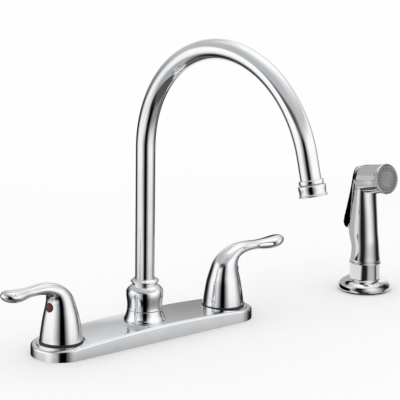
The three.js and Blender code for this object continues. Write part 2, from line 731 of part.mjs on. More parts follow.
function addHandle(side, name, indexFinish) {
  const forward = THREE.MathUtils.degToRad(leverForwardDeg[name]);
  const group = new THREE.Group();
  group.position.set(side * valveX, 0, bellBottom);
  group.rotation.z = side > 0 ? -forward : Math.PI + forward;
  faucet.add(group);
  addPiece(group, `handle_${name}`, handleBody(), chrome);
  addPiece(group, `handle_screw_${name}`, setScrewBody(), steel);
  addPiece(group, `index_button_${name}`, indexButton(), indexFinish);
  const turning = new THREE.Group();
  turning.position.x = side * valveX;
  faucet.add(turning);
  addPiece(turning, `valve_stem_${name}`, valveStem(), brass);
  addPiece(turning, `moving_disc_${name}`, ceramicDisc(movingDiscBottom, movingDiscTop), ceramic);
  addPiece(turning, `stem_o_ring_${name}`, wireRing(stemSealRadius, stemSeal.wire, stemSeal.height), rubber);
}

addHandle(-1, 'hot', redPlastic);
addHandle(1, 'cold', bluePlastic);

// ---- spout: tube, spigot and seals ----

// The tube's centre line: a straight riser, the round bend and the straight tail. The parameter
// runs through equal steps, one for the riser, bendSteps for the bend and one for the tail.
class SpoutLine extends THREE.Curve {
  constructor(tail) {
    super();
    this.tail = tail;
    this.steps = spout.bendSteps + 2;
  }

  bendAngle(t) {
    const along = THREE.MathUtils.clamp(t * this.steps - 1, 0, spout.bendSteps);
    return (along / spout.bendSteps) * THREE.MathUtils.degToRad(spout.bendDeg);
  }

  getPoint(t) {
    const angle = this.bendAngle(t);
    const y = -spout.bendRadius * (1 - Math.cos(angle));
    const z = spout.riserTop + spout.bendRadius * Math.sin(angle);
    const point = new THREE.Vector3(0, y, z);
    const before = Math.max(0, 1 - t * this.steps) * (spout.riserTop - tubeBottom);
    const after = Math.max(0, t * this.steps - 1 - spout.bendSteps) * this.tail;
    return point.addScaledVector(this.getTangent(t), after - before);
  }

  getTangent(t) {
    const angle = this.bendAngle(t);
    return new THREE.Vector3(0, -Math.sin(angle), Math.cos(angle));
  }

  getPointAt(t) {
    return this.getPoint(t);
  }

  getTangentAt(t) {
    return this.getTangent(t);
  }
}

function spoutTube() {
  const line = new SpoutLine(spout.tailLength + collar.plug - gap);
  const section = new THREE.Shape(circlePoints(spout.sides, spout.radius));
  section.holes.push(new THREE.Path(circlePoints(spout.boreSides, spout.radius - spout.wall)));
  return solid(new THREE.ExtrudeGeometry(section, { steps: line.steps, extrudePath: line }));
}

function spoutSpigot() {
  const groove = spigotRadius - spigot.grooveDepth;
  const half = spigotSeal.wire + 0.2;
  const bore = spout.radius + gap;
  const lower = spigotBottom + spigotSeal.lowerHeight;
  const upper = spigotBottom + spigotSeal.upperHeight;
  return revolve(
    [
      [spout.radius - spout.wall, spigotBottom],
      [spigotRadius, spigotBottom],
      [spigotRadius, lower - half],
      [groove, lower - half],
      [groove, lower + half],
      [spigotRadius, lower + half],
      [spigotRadius, upper - half],
      [groove, upper - half],
      [groove, upper + half],
      [spigotRadius, upper + half],
      [spigotRadius, flangeBottom],
      [hubBore - 2 * gap, flangeBottom],
      [hubBore - 2 * gap, flangeTop],
      [bore, flangeTop],
      [bore, tubeBottom - gap],
      [spout.radius - spout.wall, tubeBottom - gap],
    ],
    plainSides
  );
}

const spigotSealRadius = spigotRadius - spigotSeal.wire + gap / 6;
const lowerSealZ = spigotBottom + spigotSeal.lowerHeight;
const upperSealZ = spigotBottom + spigotSeal.upperHeight;

const spoutGroup = new THREE.Group();
spoutGroup.rotation.z = THREE.MathUtils.degToRad(spoutTurnDeg);
faucet.add(spoutGroup);

addPiece(spoutGroup, 'spout_tube', spoutTube(), chrome);
addPiece(spoutGroup, 'spout_spigot', spoutSpigot(), brass);
addPiece(spoutGroup, 'spigot_o_ring_lower', wireRing(spigotSealRadius, spigotSeal.wire, lowerSealZ, plainSides), rubber);
addPiece(spoutGroup, 'spigot_o_ring_upper', wireRing(spigotSealRadius, spigotSeal.wire, upperSealZ, plainSides), rubber);

// ---- diverter: a piston that sends the water to the side spray ----

function diverterValve() {
  const { stemRadius, discThickness, bottom, top } = diverter;
  const radius = spoutBody.chamberRadius - 2 * gap;
  return revolve([
    [0, bottom],
    [radius, bottom],
    [radius, bottom + discThickness],
    [stemRadius, bottom + discThickness],
    [stemRadius, top - discThickness],
    [radius - 0.6, top - discThickness],
    [radius, top],
    [0, top],
  ]);
}

addPiece(faucet, 'diverter_valve', diverterValve(), whitePlastic);

// ---- spout end: collar, aerator housing, washer and insert ----

const spoutEnd = new THREE.Group();
const endLine = new SpoutLine(spout.tailLength);
spoutEnd.position.copy(endLine.getPoint(1));
spoutEnd.rotation.x = -spoutEndTurn;
spoutGroup.add(spoutEnd);

const threadRadius = aerator.radius - aerator.wall - gap;
const threadEnd = -collar.height - collar.threadLength;
const housingTop = -collar.height - gap;
const housingBottom = housingTop - aerator.height;
const washerTop = threadEnd - gap;
const washerBottom = washerTop - aeratorWasher.thickness;
const lipTop = housingBottom + aerator.lip;

function spoutCollar() {
  const { radius, bevel, height, plug } = collar;
  const seat = spout.radius + gap;
  const bore = spout.radius - spout.wall;
  return revolve(
    [
      [seat, 0],
      [radius - bevel, 0],
      [radius, -bevel],
      [radius, -height + bevel],
      [radius - bevel, -height],
      [threadRadius, -height],
      [threadRadius, threadEnd],
      [bore - 0.4, threadEnd],
      [bore - 0.4, -plug],
      [seat, -plug],
    ],
    wideSides
  );
}

function aeratorHousing() {
  const { radius, rimRadius, rimHeight, wall } = aerator;
  const bevel = 1.1;
  const bore = radius - wall;
  const lipRadius = bore - 1;
  return revolve(
    [
      [bore, housingTop],
      [collar.radius, housingTop],
      [radius, housingTop - bevel],
      [radius, housingTop - 2.5 * bevel],
      [radius - 0.5, housingBottom + 1.8 * rimHeight],
      [rimRadius, housingBottom + rimHeight],
      [rimRadius, housingBottom + 0.3 * rimHeight],
      [rimRadius - 0.5, housingBottom],
      [lipRadius, housingBottom],
      [lipRadius, lipTop],
      [bore, lipTop],
    ],
    wideSides
  );
}

// The insert's round plate, with a triangular grid of square holes.
function aeratorInsert() {
  const radius = aerator.radius - aerator.wall - gap;
  const { holeRadius, pitch, thickness } = aeratorGrid;
  const holeSides = 4;
  const shape = new THREE.Shape(circlePoints(wideSides, radius));
  const rows = 2;
  for (let row = -rows; row <= rows; row++) {
    for (let i = 0; i < 2 * rows + 1 - Math.abs(row); i++) {
      const x = (i - rows + Math.abs(row) / 2) * pitch;
      const y = row * pitch * Math.sin(Math.PI / 3);
      shape.holes.push(new THREE.Path(circlePoints(holeSides, holeRadius, x, y)));
    }
  }
  return extrude(shape, lipTop + gap, lipTop + gap + thickness);
}

const washerRing = ring(threadRadius - aeratorWasher.width, threadRadius, washerBottom, washerTop, wideSides);
addPiece(spoutEnd, 'spout_collar', spoutCollar(), chrome);
addPiece(spoutEnd, 'aerator_housing', aeratorHousing(), chrome);
addPiece(spoutEnd, 'aerator_washer', washerRing, rubber);
addPiece(spoutEnd, 'aerator_insert', aeratorInsert(), greyPlastic);

// ---- side spray: holder, gasket and nut ----

const spray = new THREE.Group();
spray.position.set(sprayPlace.x, sprayPlace.y, 0);
faucet.add(spray);

const holderShankRadius = holderShank.boreRadius + holderShank.wall;
const cupBore = holder.cupRadius - holder.wall + holder.plugRoom;

function sprayHolder() {
  const { flangeRadius, rimThickness, footHeight, cupRadius, lipRadius, cupTop } = holder;
  const base = holderGasket.thickness;
  const floor = holderShank.collarTop - holderShank.collarThickness - gap;
  const outer = new THREE.Path()
    .moveTo(holderShankRadius + gap, base)
    .lineTo(flangeRadius - 0.5, base)
    .lineTo(flangeRadius, base + 0.4 * rimThickness)
    .lineTo(flangeRadius - 0.4, base + rimThickness)
    .quadraticCurveTo(cupRadius + 3, base + rimThickness + 3.5, cupRadius, footHeight)
    .lineTo(cupRadius, cupTop - 4)
    .lineTo(lipRadius, cupTop - 1)
    .lineTo(lipRadius - 0.4, cupTop)
    .lineTo(cupBore, cupTop)
    .lineTo(cupBore, floor)
    .lineTo(holderShankRadius + gap, floor);
  return revolve(outlineOf(outer, 5), wideSides);
}

function holderShankBody() {
  const { boreRadius, length, collarTop, collarThickness, collarInset } = holderShank;
  const outline = [
    [boreRadius, -length],
    [holderShankRadius, -length],
    [holderShankRadius, collarTop - collarThickness],
    [cupBore - collarInset, collarTop - collarThickness],
    [cupBore - collarInset, collarTop],
    [boreRadius, collarTop],
  ];
  return revolve(outline, wideSides);
}

const gasketEdge = holder.flangeRadius - holderGasket.inset;
const gasketRing = ring(holderShankRadius + gap, gasketEdge, 0, holderGasket.thickness, wideSides);
const holderNutBar = hexBar(holderNut.across, -deckThickness - holderNut.height, -deckThickness);
addPiece(spray, 'spray_holder', sprayHolder(), chrome);
addPiece(spray, 'holder_shank', holderShankBody(), blackPlastic);
addPiece(spray, 'holder_gasket', gasketRing, rubber);
addPiece(spray, 'holder_nut', cut(holderNutBar, rod(holderShankRadius + gap, -99, 0, wideSides)), whitePlastic);

// ---- side spray: wand ----

const wandFoot = holder.cupTop + gap;
const plugBottom = wandFoot - wand.plugDepth;
const plugRadius = cupBore - gap;

// Places a body that stands along Z on the spray head's axis, which points at the user and up.
const onHeadAxis = (body) => moved(body.rotate([90 - wand.headTiltDeg, 0, 0]), 0, 0, wand.headHeight);

function headOutline() {
  const { headRadius, headReach, headBack } = wand;
  const steps = 5;
  const outline = [[0, -headBack]];
  for (let i = 1; i <= steps; i++) {
    const angle = (i * Math.PI) / 2 / steps;
    outline.push([headRadius * Math.sin(angle), -headBack * Math.cos(angle)]);
  }
  outline.push([headRadius, headReach - 6], [nozzle.rimRadius - 0.2, headReach], [0, headReach]);
  return outline;
}

// The trigger's outer back in Y and Z, from under the pivot down to its tip.
function triggerBack() {
  const { pivotY, pivotZ, tipY, tipZ } = trigger;
  const back = new THREE.Path()
    .moveTo(pivotY + 6.9, pivotZ - 5)
    .quadraticCurveTo(pivotY + 10, pivotZ - 24, tipY - 1.1, tipZ + 6.5)
    .lineTo(tipY, tipZ);
  return outlineOf(back, 4);
}

// The trigger's side view: over the pivot, down behind the grip to the tip, and back up its folded sides.
function triggerOutline() {
  const { pivotY, pivotZ, earRadius, tipY, tipZ, sideDepth } = trigger;
  const top = new THREE.Path()
    .moveTo(pivotY - earRadius + 0.2, pivotZ + 2)
    .quadraticCurveTo(pivotY - earRadius, pivotZ + 8.2, pivotY + 1, pivotZ + 6.7)
    .quadraticCurveTo(pivotY + 5.2, pivotZ + 3.6, pivotY + 6.9, pivotZ - 5);
  const inside = new THREE.Path()
    .moveTo(tipY - 1.3, tipZ - 3.3)
    .lineTo(tipY - 4.5, tipZ - 5.9)
    .lineTo(tipY - sideDepth, tipZ - 5)
    .quadraticCurveTo(pivotY + 6.5, pivotZ - 36.5, pivotY + 4.9, pivotZ - 14)
    .lineTo(pivotY + earRadius - 0.8, pivotZ - earRadius + 0.2)
    .lineTo(pivotY - 1, pivotZ - earRadius)
    .lineTo(pivotY - earRadius + 0.2, pivotZ - 1);
  return [...outlineOf(top, 4), ...triggerBack().slice(1), ...outlineOf(inside, 4)];
}

// The hollow between the trigger's folded sides.
function triggerHollow() {
  const web = triggerBack().slice(1).map(([y, z]) => [y - trigger.thickness, z]);
  const below = trigger.tipZ - 10;
  return [[0, web[0][1]], ...web, [web[web.length - 1][0], below], [0, below]];
}

// Extrudes an outline given in Y and Z across X, centred on the wand.
function acrossWand(outline, halfWidth) {
  const shape = new THREE.Shape(outline.map(([y, z]) => new THREE.Vector2(y, z)));
  const upright = new THREE.Matrix4().makeBasis(
    new THREE.Vector3(0, 1, 0),
    new THREE.Vector3(0, 0, 1),
    new THREE.Vector3(1, 0, 0)
  );
  const options = { depth: 2 * halfWidth, bevelEnabled: false };
  const geometry = new THREE.ExtrudeGeometry(shape, options).translate(0, 0, -halfWidth).applyMatrix4(upright);
  return solid(geometry);
}

// The pocket in the wand's back that the trigger swings in.
function triggerPocket() {
  const { pivotY, pivotZ, earRadius, halfWidth } = trigger;
  const front = pivotY - earRadius - gap;
  const beyond = wand.headRadius + 25;
  const outline = [
    [front, pivotZ + 20],
    [front, pivotZ - earRadius - 0.5],
    [pivotY + pocket.floor, pivotZ - earRadius - 1.6],
    [pivotY + pocket.floor, pivotZ - pocket.end],
    [beyond, pivotZ - pocket.end],
    [beyond, pivotZ + 20],
  ];
  return acrossWand(outline, halfWidth + gap);
}

const pinHole = () => moved(alongX(rod(triggerPin.radius + gap, -30, 30)), 0, trigger.pivotY, trigger.pivotZ);

// The grip's cross-sections: height, depth in front of and behind the foot's axis, and half its width.
function gripStations() {
  const { waistRadius, waistHeight, humpHeight, humpFront, humpBack, neckHeight, neckFront, neckBack } = wand;
  const waist = wandFoot + waistHeight;
  const humpHalf = waistRadius - 0.2;
  const { lerp } = THREE.MathUtils;
  return [
    { z: wandFoot + 2, front: waistRadius + 0.4, back: waistRadius + 0.4, half: waistRadius + 0.4 },
    { z: waist, front: waistRadius, back: waistRadius, half: waistRadius },
    { z: lerp(waist, humpHeight, 0.3), front: lerp(waistRadius, humpFront, 0.2), back: lerp(waistRadius, humpBack, 0.16), half: waistRadius },
    { z: lerp(waist, humpHeight, 0.63), front: lerp(waistRadius, humpFront, 0.5), back: lerp(waistRadius, humpBack, 0.58), half: waistRadius },
    { z: humpHeight, front: humpFront, back: humpBack, half: humpHalf },
    { z: lerp(humpHeight, neckHeight, 0.2), front: lerp(humpFront, neckFront, 0.16), back: lerp(humpBack, neckBack, 0.07), half: lerp(humpHalf, wand.neckHalfWidth, 0.17) },
    { z: lerp(humpHeight, neckHeight, 0.55), front: lerp(humpFront, neckFront, 0.47), back: lerp(humpBack, neckBack, 0.38), half: lerp(humpHalf, wand.neckHalfWidth, 0.55) },
    { z: neckHeight, front: neckFront, back: neckBack, half: wand.neckHalfWidth },
    { z: wand.headHeight - 6, front: neckFront, back: neckBack - 2, half: wand.neckHalfWidth },
  ];
}

function gripRing({ z, front, back, half }) {
  const halfStep = Math.PI / wideSides;
  return Array.from({ length: wideSides }, (_, i) => {
    const angle = halfStep + (i * 2 * Math.PI) / wideSides;
    return new THREE.Vector3(half * Math.cos(angle), (back - front) / 2 + ((back + front) / 2) * Math.sin(angle), z);
  });
}

function sprayBody() {
  const { footRadius, waistRadius, waistHeight, headHeight, plugTaper, waterway, headReach } = wand;
  const foot = new THREE.Path()
    .moveTo(0, plugBottom)
    .lineTo(plugRadius - plugTaper, plugBottom)
    .lineTo(plugRadius, wandFoot)
    .lineTo(footRadius, wandFoot)
    .lineTo(footRadius, wandFoot + 3)
    .quadraticCurveTo(waistRadius + 0.3, wandFoot + 5, waistRadius - 0.3, wandFoot + waistHeight)
    .lineTo(0, wandFoot + waistHeight);
  const head = onHeadAxis(revolve(headOutline(), wideSides));
  const grown = joined(revolve(outlineOf(foot, 3), wideSides), loft(gripStations().map(gripRing)), head);
  const wells = joined(
    rod(nipple.threadRadius + gap, plugBottom - 1, plugBottom + nipple.threadLength + gap),
    rod(waterway, plugBottom, headHeight),
    onHeadAxis(rod(waterway + 1, 0, headReach + 1)),
    onHeadAxis(rod(nozzle.faceRadius - 2, headReach - 3, headReach + 1))
  );
  const chamber = alongY(rod(plunger.headRadius + gap, springCoil.seatY - gap, plunger.headY + plunger.headThickness + gap));
  const rodHole = alongY(rod(plunger.rodRadius + gap, 0, wand.humpBack));
  const valveWell = moved(joined(chamber, rodHole), 0, 0, plunger.height);
  return cut(grown, wells, valveWell, triggerPocket(), pinHole());
}

function sprayTrigger() {
  const { halfWidth, sideWall } = trigger;
  const hollow = acrossWand(triggerHollow(), halfWidth - sideWall);
  return cut(acrossWand(triggerOutline(), halfWidth), hollow, pinHole());
}

function sprayRim() {
  const start = wand.headReach + gap;
  const end = start + nozzle.rimLength;
  const edge = 0.5;
  const outline = [
    [nozzle.faceRadius + gap, start],
    [nozzle.rimRadius - 0.2, start],
    [nozzle.rimRadius, end - edge],
    [nozzle.rimRadius - edge, end],
    [nozzle.faceRadius + gap, end],
  ];
  return onHeadAxis(revolve(outline, wideSides));
}

const faceFront = wand.headReach + gap + nozzle.rimLength - 0.5;

function sprayFace() {
  const shape = new THREE.Shape(circlePoints(wideSides, nozzle.faceRadius));
  const holeSides = 4;
  for (const at of circlePoints(sprayHoles.count, sprayHoles.circle)) {
    shape.holes.push(new THREE.Path(circlePoints(holeSides, sprayHoles.radius, at.x, at.y)));
  }
  const plateBody = extrude(shape, faceFront - nozzle.thickness, faceFront);
  const recess = rod(centreDisc.radius + gap, faceFront - centreDisc.depth - gap, faceFront + 1, wideSides);
  return onHeadAxis(cut(plateBody, recess));
}

const centreDiscBody = onHeadAxis(rod(centreDisc.radius, faceFront - centreDisc.depth, faceFront + 0.4, wideSides));

function hoseNipple() {
  const { threadRadius: thread, threadLength, tailRadius, tailLength, bore } = nipple;
  return revolve([
    [bore, plugBottom - tailLength],
    [tailRadius, plugBottom - tailLength],
    [tailRadius, plugBottom - gap],
    [thread, plugBottom - gap],
    [thread, plugBottom + threadLength],
    [bore, plugBottom + threadLength],
  ]);
}

// The inner face of the trigger's back at a height.
function triggerFaceY(height) {
  const outline = triggerHollow();
  const crossings = outline.flatMap(([y, z], i) => {
    const [nextY, nextZ] = outline[(i + 1) % outline.length];
    return (z - height) * (nextZ - height) < 0 ? [y + ((nextY - y) * (height - z)) / (nextZ - z)] : [];
  });
  return Math.max(...crossings);
}

function sprayPlunger() {
  const { rodRadius, headRadius, headThickness, headY, height } = plunger;
  const endY = triggerFaceY(height + rodRadius) - gap;
  const outline = [
    [0, headY],
    [headRadius, headY],
    [headRadius, headY + headThickness],
    [rodRadius, headY + headThickness],
    [rodRadius, endY],
    [0, endY],
  ];
  return moved(alongY(revolve(outline)), 0, 0, height);
}

// The plunger's return spring: one unbroken wire, drawn as short as the pressed trigger makes it.
class SpringLine extends THREE.Curve {
  getPoint(t) {
    const radius = plunger.headRadius - springCoil.wire - 0.2;
    const start = springCoil.seatY + springCoil.wire;
    const end = plunger.headY - plunger.travel - gap - springCoil.wire;
    const angle = t * springCoil.turns * 2 * Math.PI;
    return new THREE.Vector3(radius * Math.cos(angle), start + t * (end - start), radius * Math.sin(angle));
  }
}

function valveSpring() {
  const coilSteps = 8;
  const wireSides = 5;
  const section = new THREE.Shape(circlePoints(wireSides, springCoil.wire));
  const options = { steps: coilSteps * springCoil.turns, extrudePath: new SpringLine() };
  return moved(solid(new THREE.ExtrudeGeometry(section, options)), 0, 0, plunger.height);
}

const pinBody = moved(
  alongX(rod(triggerPin.radius, -triggerPin.halfLength, triggerPin.halfLength)),
  0,
  trigger.pivotY,
  trigger.pivotZ
);

addPiece(spray, 'spray_body', sprayBody(), chrome);
addPiece(spray, 'spray_rim', sprayRim(), chrome);
addPiece(spray, 'spray_face', sprayFace(), greyPlastic);
addPiece(spray, 'spray_center_disc', centreDiscBody, greyPlastic);
addPiece(spray, 'spray_hose_nipple', hoseNipple(), brass);
addPiece(spray, 'trigger_pin', pinBody, steel);
addPiece(spray, 'spray_trigger', sprayTrigger(), chrome);
addPiece(spray, 'spray_plunger', sprayPlunger(), steel);
addPiece(spray, 'valve_spring', valveSpring(), steel);

export default faucet;
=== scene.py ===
import json
import math

import bmesh
import bpy
from mathutils import Euler, Matrix, Vector
from mathutils.geometry import interpolate_bezier


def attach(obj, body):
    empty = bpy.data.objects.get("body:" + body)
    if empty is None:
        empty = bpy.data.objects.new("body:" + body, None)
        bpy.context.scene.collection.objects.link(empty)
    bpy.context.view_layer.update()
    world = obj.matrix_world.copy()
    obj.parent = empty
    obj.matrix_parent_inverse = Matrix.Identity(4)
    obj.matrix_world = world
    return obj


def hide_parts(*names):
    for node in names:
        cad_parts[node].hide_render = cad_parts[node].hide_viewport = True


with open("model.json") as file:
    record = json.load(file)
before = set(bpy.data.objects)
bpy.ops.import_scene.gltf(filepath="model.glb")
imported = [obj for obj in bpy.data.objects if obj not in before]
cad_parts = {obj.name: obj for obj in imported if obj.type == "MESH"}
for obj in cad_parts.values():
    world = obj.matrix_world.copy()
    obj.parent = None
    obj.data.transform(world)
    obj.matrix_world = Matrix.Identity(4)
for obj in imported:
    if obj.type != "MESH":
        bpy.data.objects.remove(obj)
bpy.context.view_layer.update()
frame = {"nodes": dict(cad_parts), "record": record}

# Shapes are drawn in millimetres and shrunk to metres when a piece is finished.
millimetre = 0.001
scene = bpy.context.scene


class Wire:
    # A node socket that the usual operators work on: each one adds its own Math node.
    def __init__(self, nodes, socket):
        self.nodes = nodes
        self.socket = socket

    def maths(self, operation, *others, first=None):
        terms = [self, *others] if first is None else [first, self, *others]
        return self.nodes.node("ShaderNodeMath", {"operation": operation}, dict(enumerate(terms)))

    def __add__(self, other):
        return self.maths("ADD", other)

    def __sub__(self, other):
        return self.maths("SUBTRACT", other)

    def __mul__(self, other):
        return self.maths("MULTIPLY", other)

    def __truediv__(self, other):
        return self.maths("DIVIDE", other)

    def __rsub__(self, other):
        return self.maths("SUBTRACT", first=other)

    def __rtruediv__(self, other):
        return self.maths("DIVIDE", first=other)

    __radd__ = __add__
    __rmul__ = __mul__

    # 0 below start, 1 above end, eased between them
    def rise(self, start, end):
        return self.nodes.node("ShaderNodeMapRange", {"interpolation_type": "SMOOTHSTEP"}, {
            "Value": self, "From Min": start, "From Max": end,
        }, output="Result")

    # 0 until start, 1 from full to last, and 0 again from end
    def window(self, start, full, last, end):
        return self.rise(start, full) * (1 - self.rise(last, end))


class NodeTree:
    def __init__(self, tree):
        self.tree = tree
        tree.nodes.clear()

    # Adds a node: its settings first, then the values or links of its sockets.
    def node(self, kind, settings=None, sockets=None, output=0):
        made = self.tree.nodes.new(kind)
        for key, value in (settings or {}).items():
            setattr(made, key, value)
        for key, value in (sockets or {}).items():
            entry = made.inputs[key]
            if isinstance(value, Wire):
                self.tree.links.new(value.socket, entry)
            else:
                entry.default_value = value
        if output is None:
            return made
        return Wire(self, made.outputs[output])

    # The Mix node's sockets for colours are its 6th and 7th, and their result its 2nd.
    def mixColour(self, factor, first, second):
        return self.node("ShaderNodeMix", {"data_type": "RGBA"}, {
            0: factor, 6: (*first, 1.0), 7: (*second, 1.0),
        }, output=2)


class Finish(NodeTree):
    def __init__(self, name):
        self.material = bpy.data.materials.new(name)
        self.material.use_nodes = True
        super().__init__(self.material.node_tree)
        self.place = self.node("ShaderNodeTexCoord", output="Object")

    def noise(self, scale, detail=3.0, roughness=0.5, stretch=(1, 1, 1)):
        mapped = self.node("ShaderNodeMapping", {}, {"Vector": self.place, "Scale": stretch})
        return self.node("ShaderNodeTexNoise", {}, {
            "Vector": mapped, "Scale": scale, "Detail": detail, "Roughness": roughness,
        })

    def bump(self, height, distance, strength=1.0):
        return self.node("ShaderNodeBump", {}, {
            "Height": height, "Distance": distance, "Strength": strength,
        }, output="Normal")

    def glow(self, level, brightest):
        return self.node("ShaderNodeBsdfPrincipled", {}, {
            "Base Color": (0, 0, 0, 1), "Roughness": 1.0, "Specular IOR Level": 0.0,
            "Emission Color": self.mixColour(level / brightest, (0, 0, 0), (1, 1, 1)),
            "Emission Strength": brightest,
        }, output="BSDF")

    def surface(self, **sockets):
        named = {key.replace("_", " ").title().replace("Ior", "IOR"): value for key, value in sockets.items()}
        shader = self.node("ShaderNodeBsdfPrincipled", {}, named, output="BSDF")
        self.node("ShaderNodeOutputMaterial", {}, {"Surface": shader}, output=None)
        return self.material


chromeLook = {
    "colour": (0.86, 0.87, 0.885),
    "worn": (0.82, 0.83, 0.845),
    "roughness": 0.035,
    "haze": 0.035,  # extra roughness where the plating is a little hazy
    "ripple": 0.00003,
    "patchSize": 35.0, "speckSize": 900.0, "rippleSize": 60.0,
}


def chromeFinish():
    look = Finish("chrome")
    patches = look.noise(chromeLook["patchSize"]).rise(0.42, 0.68)
    specks = look.noise(chromeLook["speckSize"], 2.0)
    colour = look.mixColour(patches, chromeLook["colour"], chromeLook["worn"])
    roughness = chromeLook["roughness"] + chromeLook["haze"] * patches * specks
    ripple = look.noise(chromeLook["rippleSize"], 1.0)
    return look.surface(
        base_color=colour, metallic=1.0, roughness=roughness,
        normal=look.bump(ripple, chromeLook["ripple"], 0.3),
    )


def brassFinish(name, colour, dark):
    look = Finish(name)
    tarnish = look.noise(90.0, 4.0, 0.6).rise(0.4, 0.75)
    turning = look.noise(30.0, 2.0, 0.5, (1, 1, 60))  # fine rings left by the lathe
    return look.surface(
        base_color=look.mixColour(tarnish, colour, dark), metallic=1.0,
        roughness=0.24 + 0.2 * tarnish + 0.08 * turning,
        normal=look.bump(turning, 0.00008, 0.5),
    )


def steelFinish():
    look = Finish("steel")
    grain = look.noise(40.0, 3.0, 0.6, (1, 1, 40))
    return look.surface(
        base_color=look.mixColour(grain, (0.55, 0.56, 0.58), (0.66, 0.67, 0.69)), metallic=1.0,
        roughness=0.25 + 0.15 * grain, normal=look.bump(grain, 0.00005, 0.4),
    )


def plasticFinish(name, colour, dark, roughness, grainSize=2500.0):
    look = Finish(name)
    clouds = look.noise(60.0, 3.0).rise(0.35, 0.75)
    grain = look.noise(grainSize, 2.0)
    return look.surface(
        base_color=look.mixColour(clouds, colour, dark),
        roughness=roughness + 0.08 * grain, normal=look.bump(grain, 0.00003, 0.35),
    )


def rubberFinish():
    look = Finish("rubber")
    dust = look.noise(300.0, 4.0, 0.65).rise(0.5, 0.8)
    grain = look.noise(1800.0, 3.0)
    return look.surface(
        base_color=look.mixColour(dust, (0.02, 0.02, 0.021), (0.05, 0.05, 0.052)),
        roughness=0.7 + 0.15 * grain, normal=look.bump(grain, 0.00006, 0.5),
    )


def ceramicFinish():
    look = Finish("ceramic")
    clouds = look.noise(400.0, 3.0)
    return look.surface(
        base_color=look.mixColour(clouds, (0.80, 0.76, 0.68), (0.72, 0.67, 0.58)),
        roughness=0.12 + 0.1 * clouds, normal=look.bump(clouds, 0.00001, 0.3),
    )


finishes = {
    "chrome": chromeFinish(),
    "brass": brassFinish("brass", (0.72, 0.55, 0.28), (0.50, 0.36, 0.17)),
    "copper": brassFinish("copper", (0.74, 0.42, 0.28), (0.50, 0.26, 0.17)),
    "steel": steelFinish(),
    "plastic_black": plasticFinish("plasticBlack", (0.012, 0.012, 0.014), (0.03, 0.03, 0.032), 0.35),
    "plastic_white": plasticFinish("plasticWhite", (0.80, 0.80, 0.77), (0.72, 0.72, 0.69), 0.4),
    "plastic_grey": plasticFinish("plasticGrey", (0.23, 0.23, 0.225), (0.28, 0.28, 0.275), 0.4),
    "rubber_black": rubberFinish(),
    "ceramic": ceramicFinish(),
    "index_red": plasticFinish("indexRed", (0.12, 0.016, 0.016), (0.09, 0.012, 0.012), 0.3),
    "index_blue": plasticFinish("indexBlue", (0.03, 0.07, 0.25), (0.02, 0.05, 0.18), 0.3),
}
print("finishes made:", len(finishes))


def arc(centre, radius, startDeg, endDeg, count=8):
    angles = [math.radians(startDeg + (endDeg - startDeg) * i / count) for i in range(count + 1)]
    return [(centre[0] + radius * math.cos(a), centre[1] + radius * math.sin(a)) for a in angles]


def curve(start, firstPull, secondPull, end, count=10):
    points = [Vector((r, 0, z)) for r, z in (start, firstPull, secondPull, end)]
    return [(p.x, p.z) for p in interpolate_bezier(*points, count + 1)]


def sag(start, pull, end, count=8):
    # a curve with one pull point, as a quadratic
    first = [s + 2 / 3 * (p - s) for s, p in zip(start, pull)]
    second = [e + 2 / 3 * (p - e) for e, p in zip(end, pull)]
    return curve(start, first, second, end, count)


# where a cutter that goes right through a piece starts and ends
through = {"low": -5.0, "high": 30.0}


def isRim(edge, angle):
    return len(edge.link_faces) == 2 and edge.calc_face_angle(0) > angle


def roundRims(bm, width, segments=3, angle=40, allowed=None):
    rims = [e for e in bm.edges if isRim(e, math.radians(angle)) and (allowed is None or allowed(e))]
    if rims:
        bmesh.ops.bevel(
            bm, geom=rims, offset=width, offset_type="OFFSET", segments=segments, profile=0.5,
            affect="EDGES", material=-1, clamp_overlap=True,
        )


def turned(profile, steps=96, rim=0.3, closed=True, rimAngle=40):
    # Spins an outline of (radius, height) about Z. A closed outline makes a ring.
    bm = bmesh.new()
    points = [bm.verts.new((r, 0, z)) for r, z in profile]
    pairs = list(zip(points, points[1:])) + ([(points[-1], points[0])] if closed else [])
    edges = [bm.edges.new(pair) for pair in pairs]
    bmesh.ops.spin(
        bm, geom=points + edges, cent=(0, 0, 0), axis=(0, 0, 1), angle=2 * math.pi,
        steps=steps, use_merge=True, use_duplicate=False,
    )
    bmesh.ops.remove_doubles(bm, verts=bm.verts, dist=0.0005)
    bmesh.ops.recalc_face_normals(bm, faces=bm.faces)
    if rim:
        roundRims(bm, rim, angle=rimAngle)
    return bm


def ringAt(bm, station, segments):
    # One cross-section from its under point, its top point and half its width.
    under, top, half = station
    low, high = Vector((under[0], 0, under[1])), Vector((top[0], 0, top[1]))
    middle, down = (low + high) / 2, (low - high) / 2
    out = down.cross(Vector((0, 1, 0))).normalized()
    placing = Matrix.Translation(middle) @ Matrix((
        (down.x, 0, out.x), (0, half, 0), (down.z, 0, out.z),
    )).to_4x4()
    made = bmesh.ops.create_circle(bm, cap_ends=False, segments=segments, radius=1, matrix=placing)["verts"]
    return edgesOf(made)


def vertsOf(geom):
    return [g for g in geom if isinstance(g, bmesh.types.BMVert)]


def edgesOf(verts):
    return list(dict.fromkeys(e for v in verts for e in v.link_edges))  # each once, always in the same order


def grownRing(bm, edges):
    # Extrudes a ring of edges in place, and gives the new ring's vertices and edges.
    grown = bmesh.ops.extrude_edge_only(bm, edges=edges)["geom"]
    ring = vertsOf(grown)
    return ring, [g for g in grown if isinstance(g, bmesh.types.BMEdge) and all(v in ring for v in g.verts)]


def lofted(stations, segments=32):
    bm = bmesh.new()
    bm.edges.layers.float.new("crease_edge")
    rings = [ringAt(bm, station, segments) for station in stations]
    for lower, upper in zip(rings, rings[1:]):
        bmesh.ops.bridge_loops(bm, edges=lower + upper)
    return bm, rings


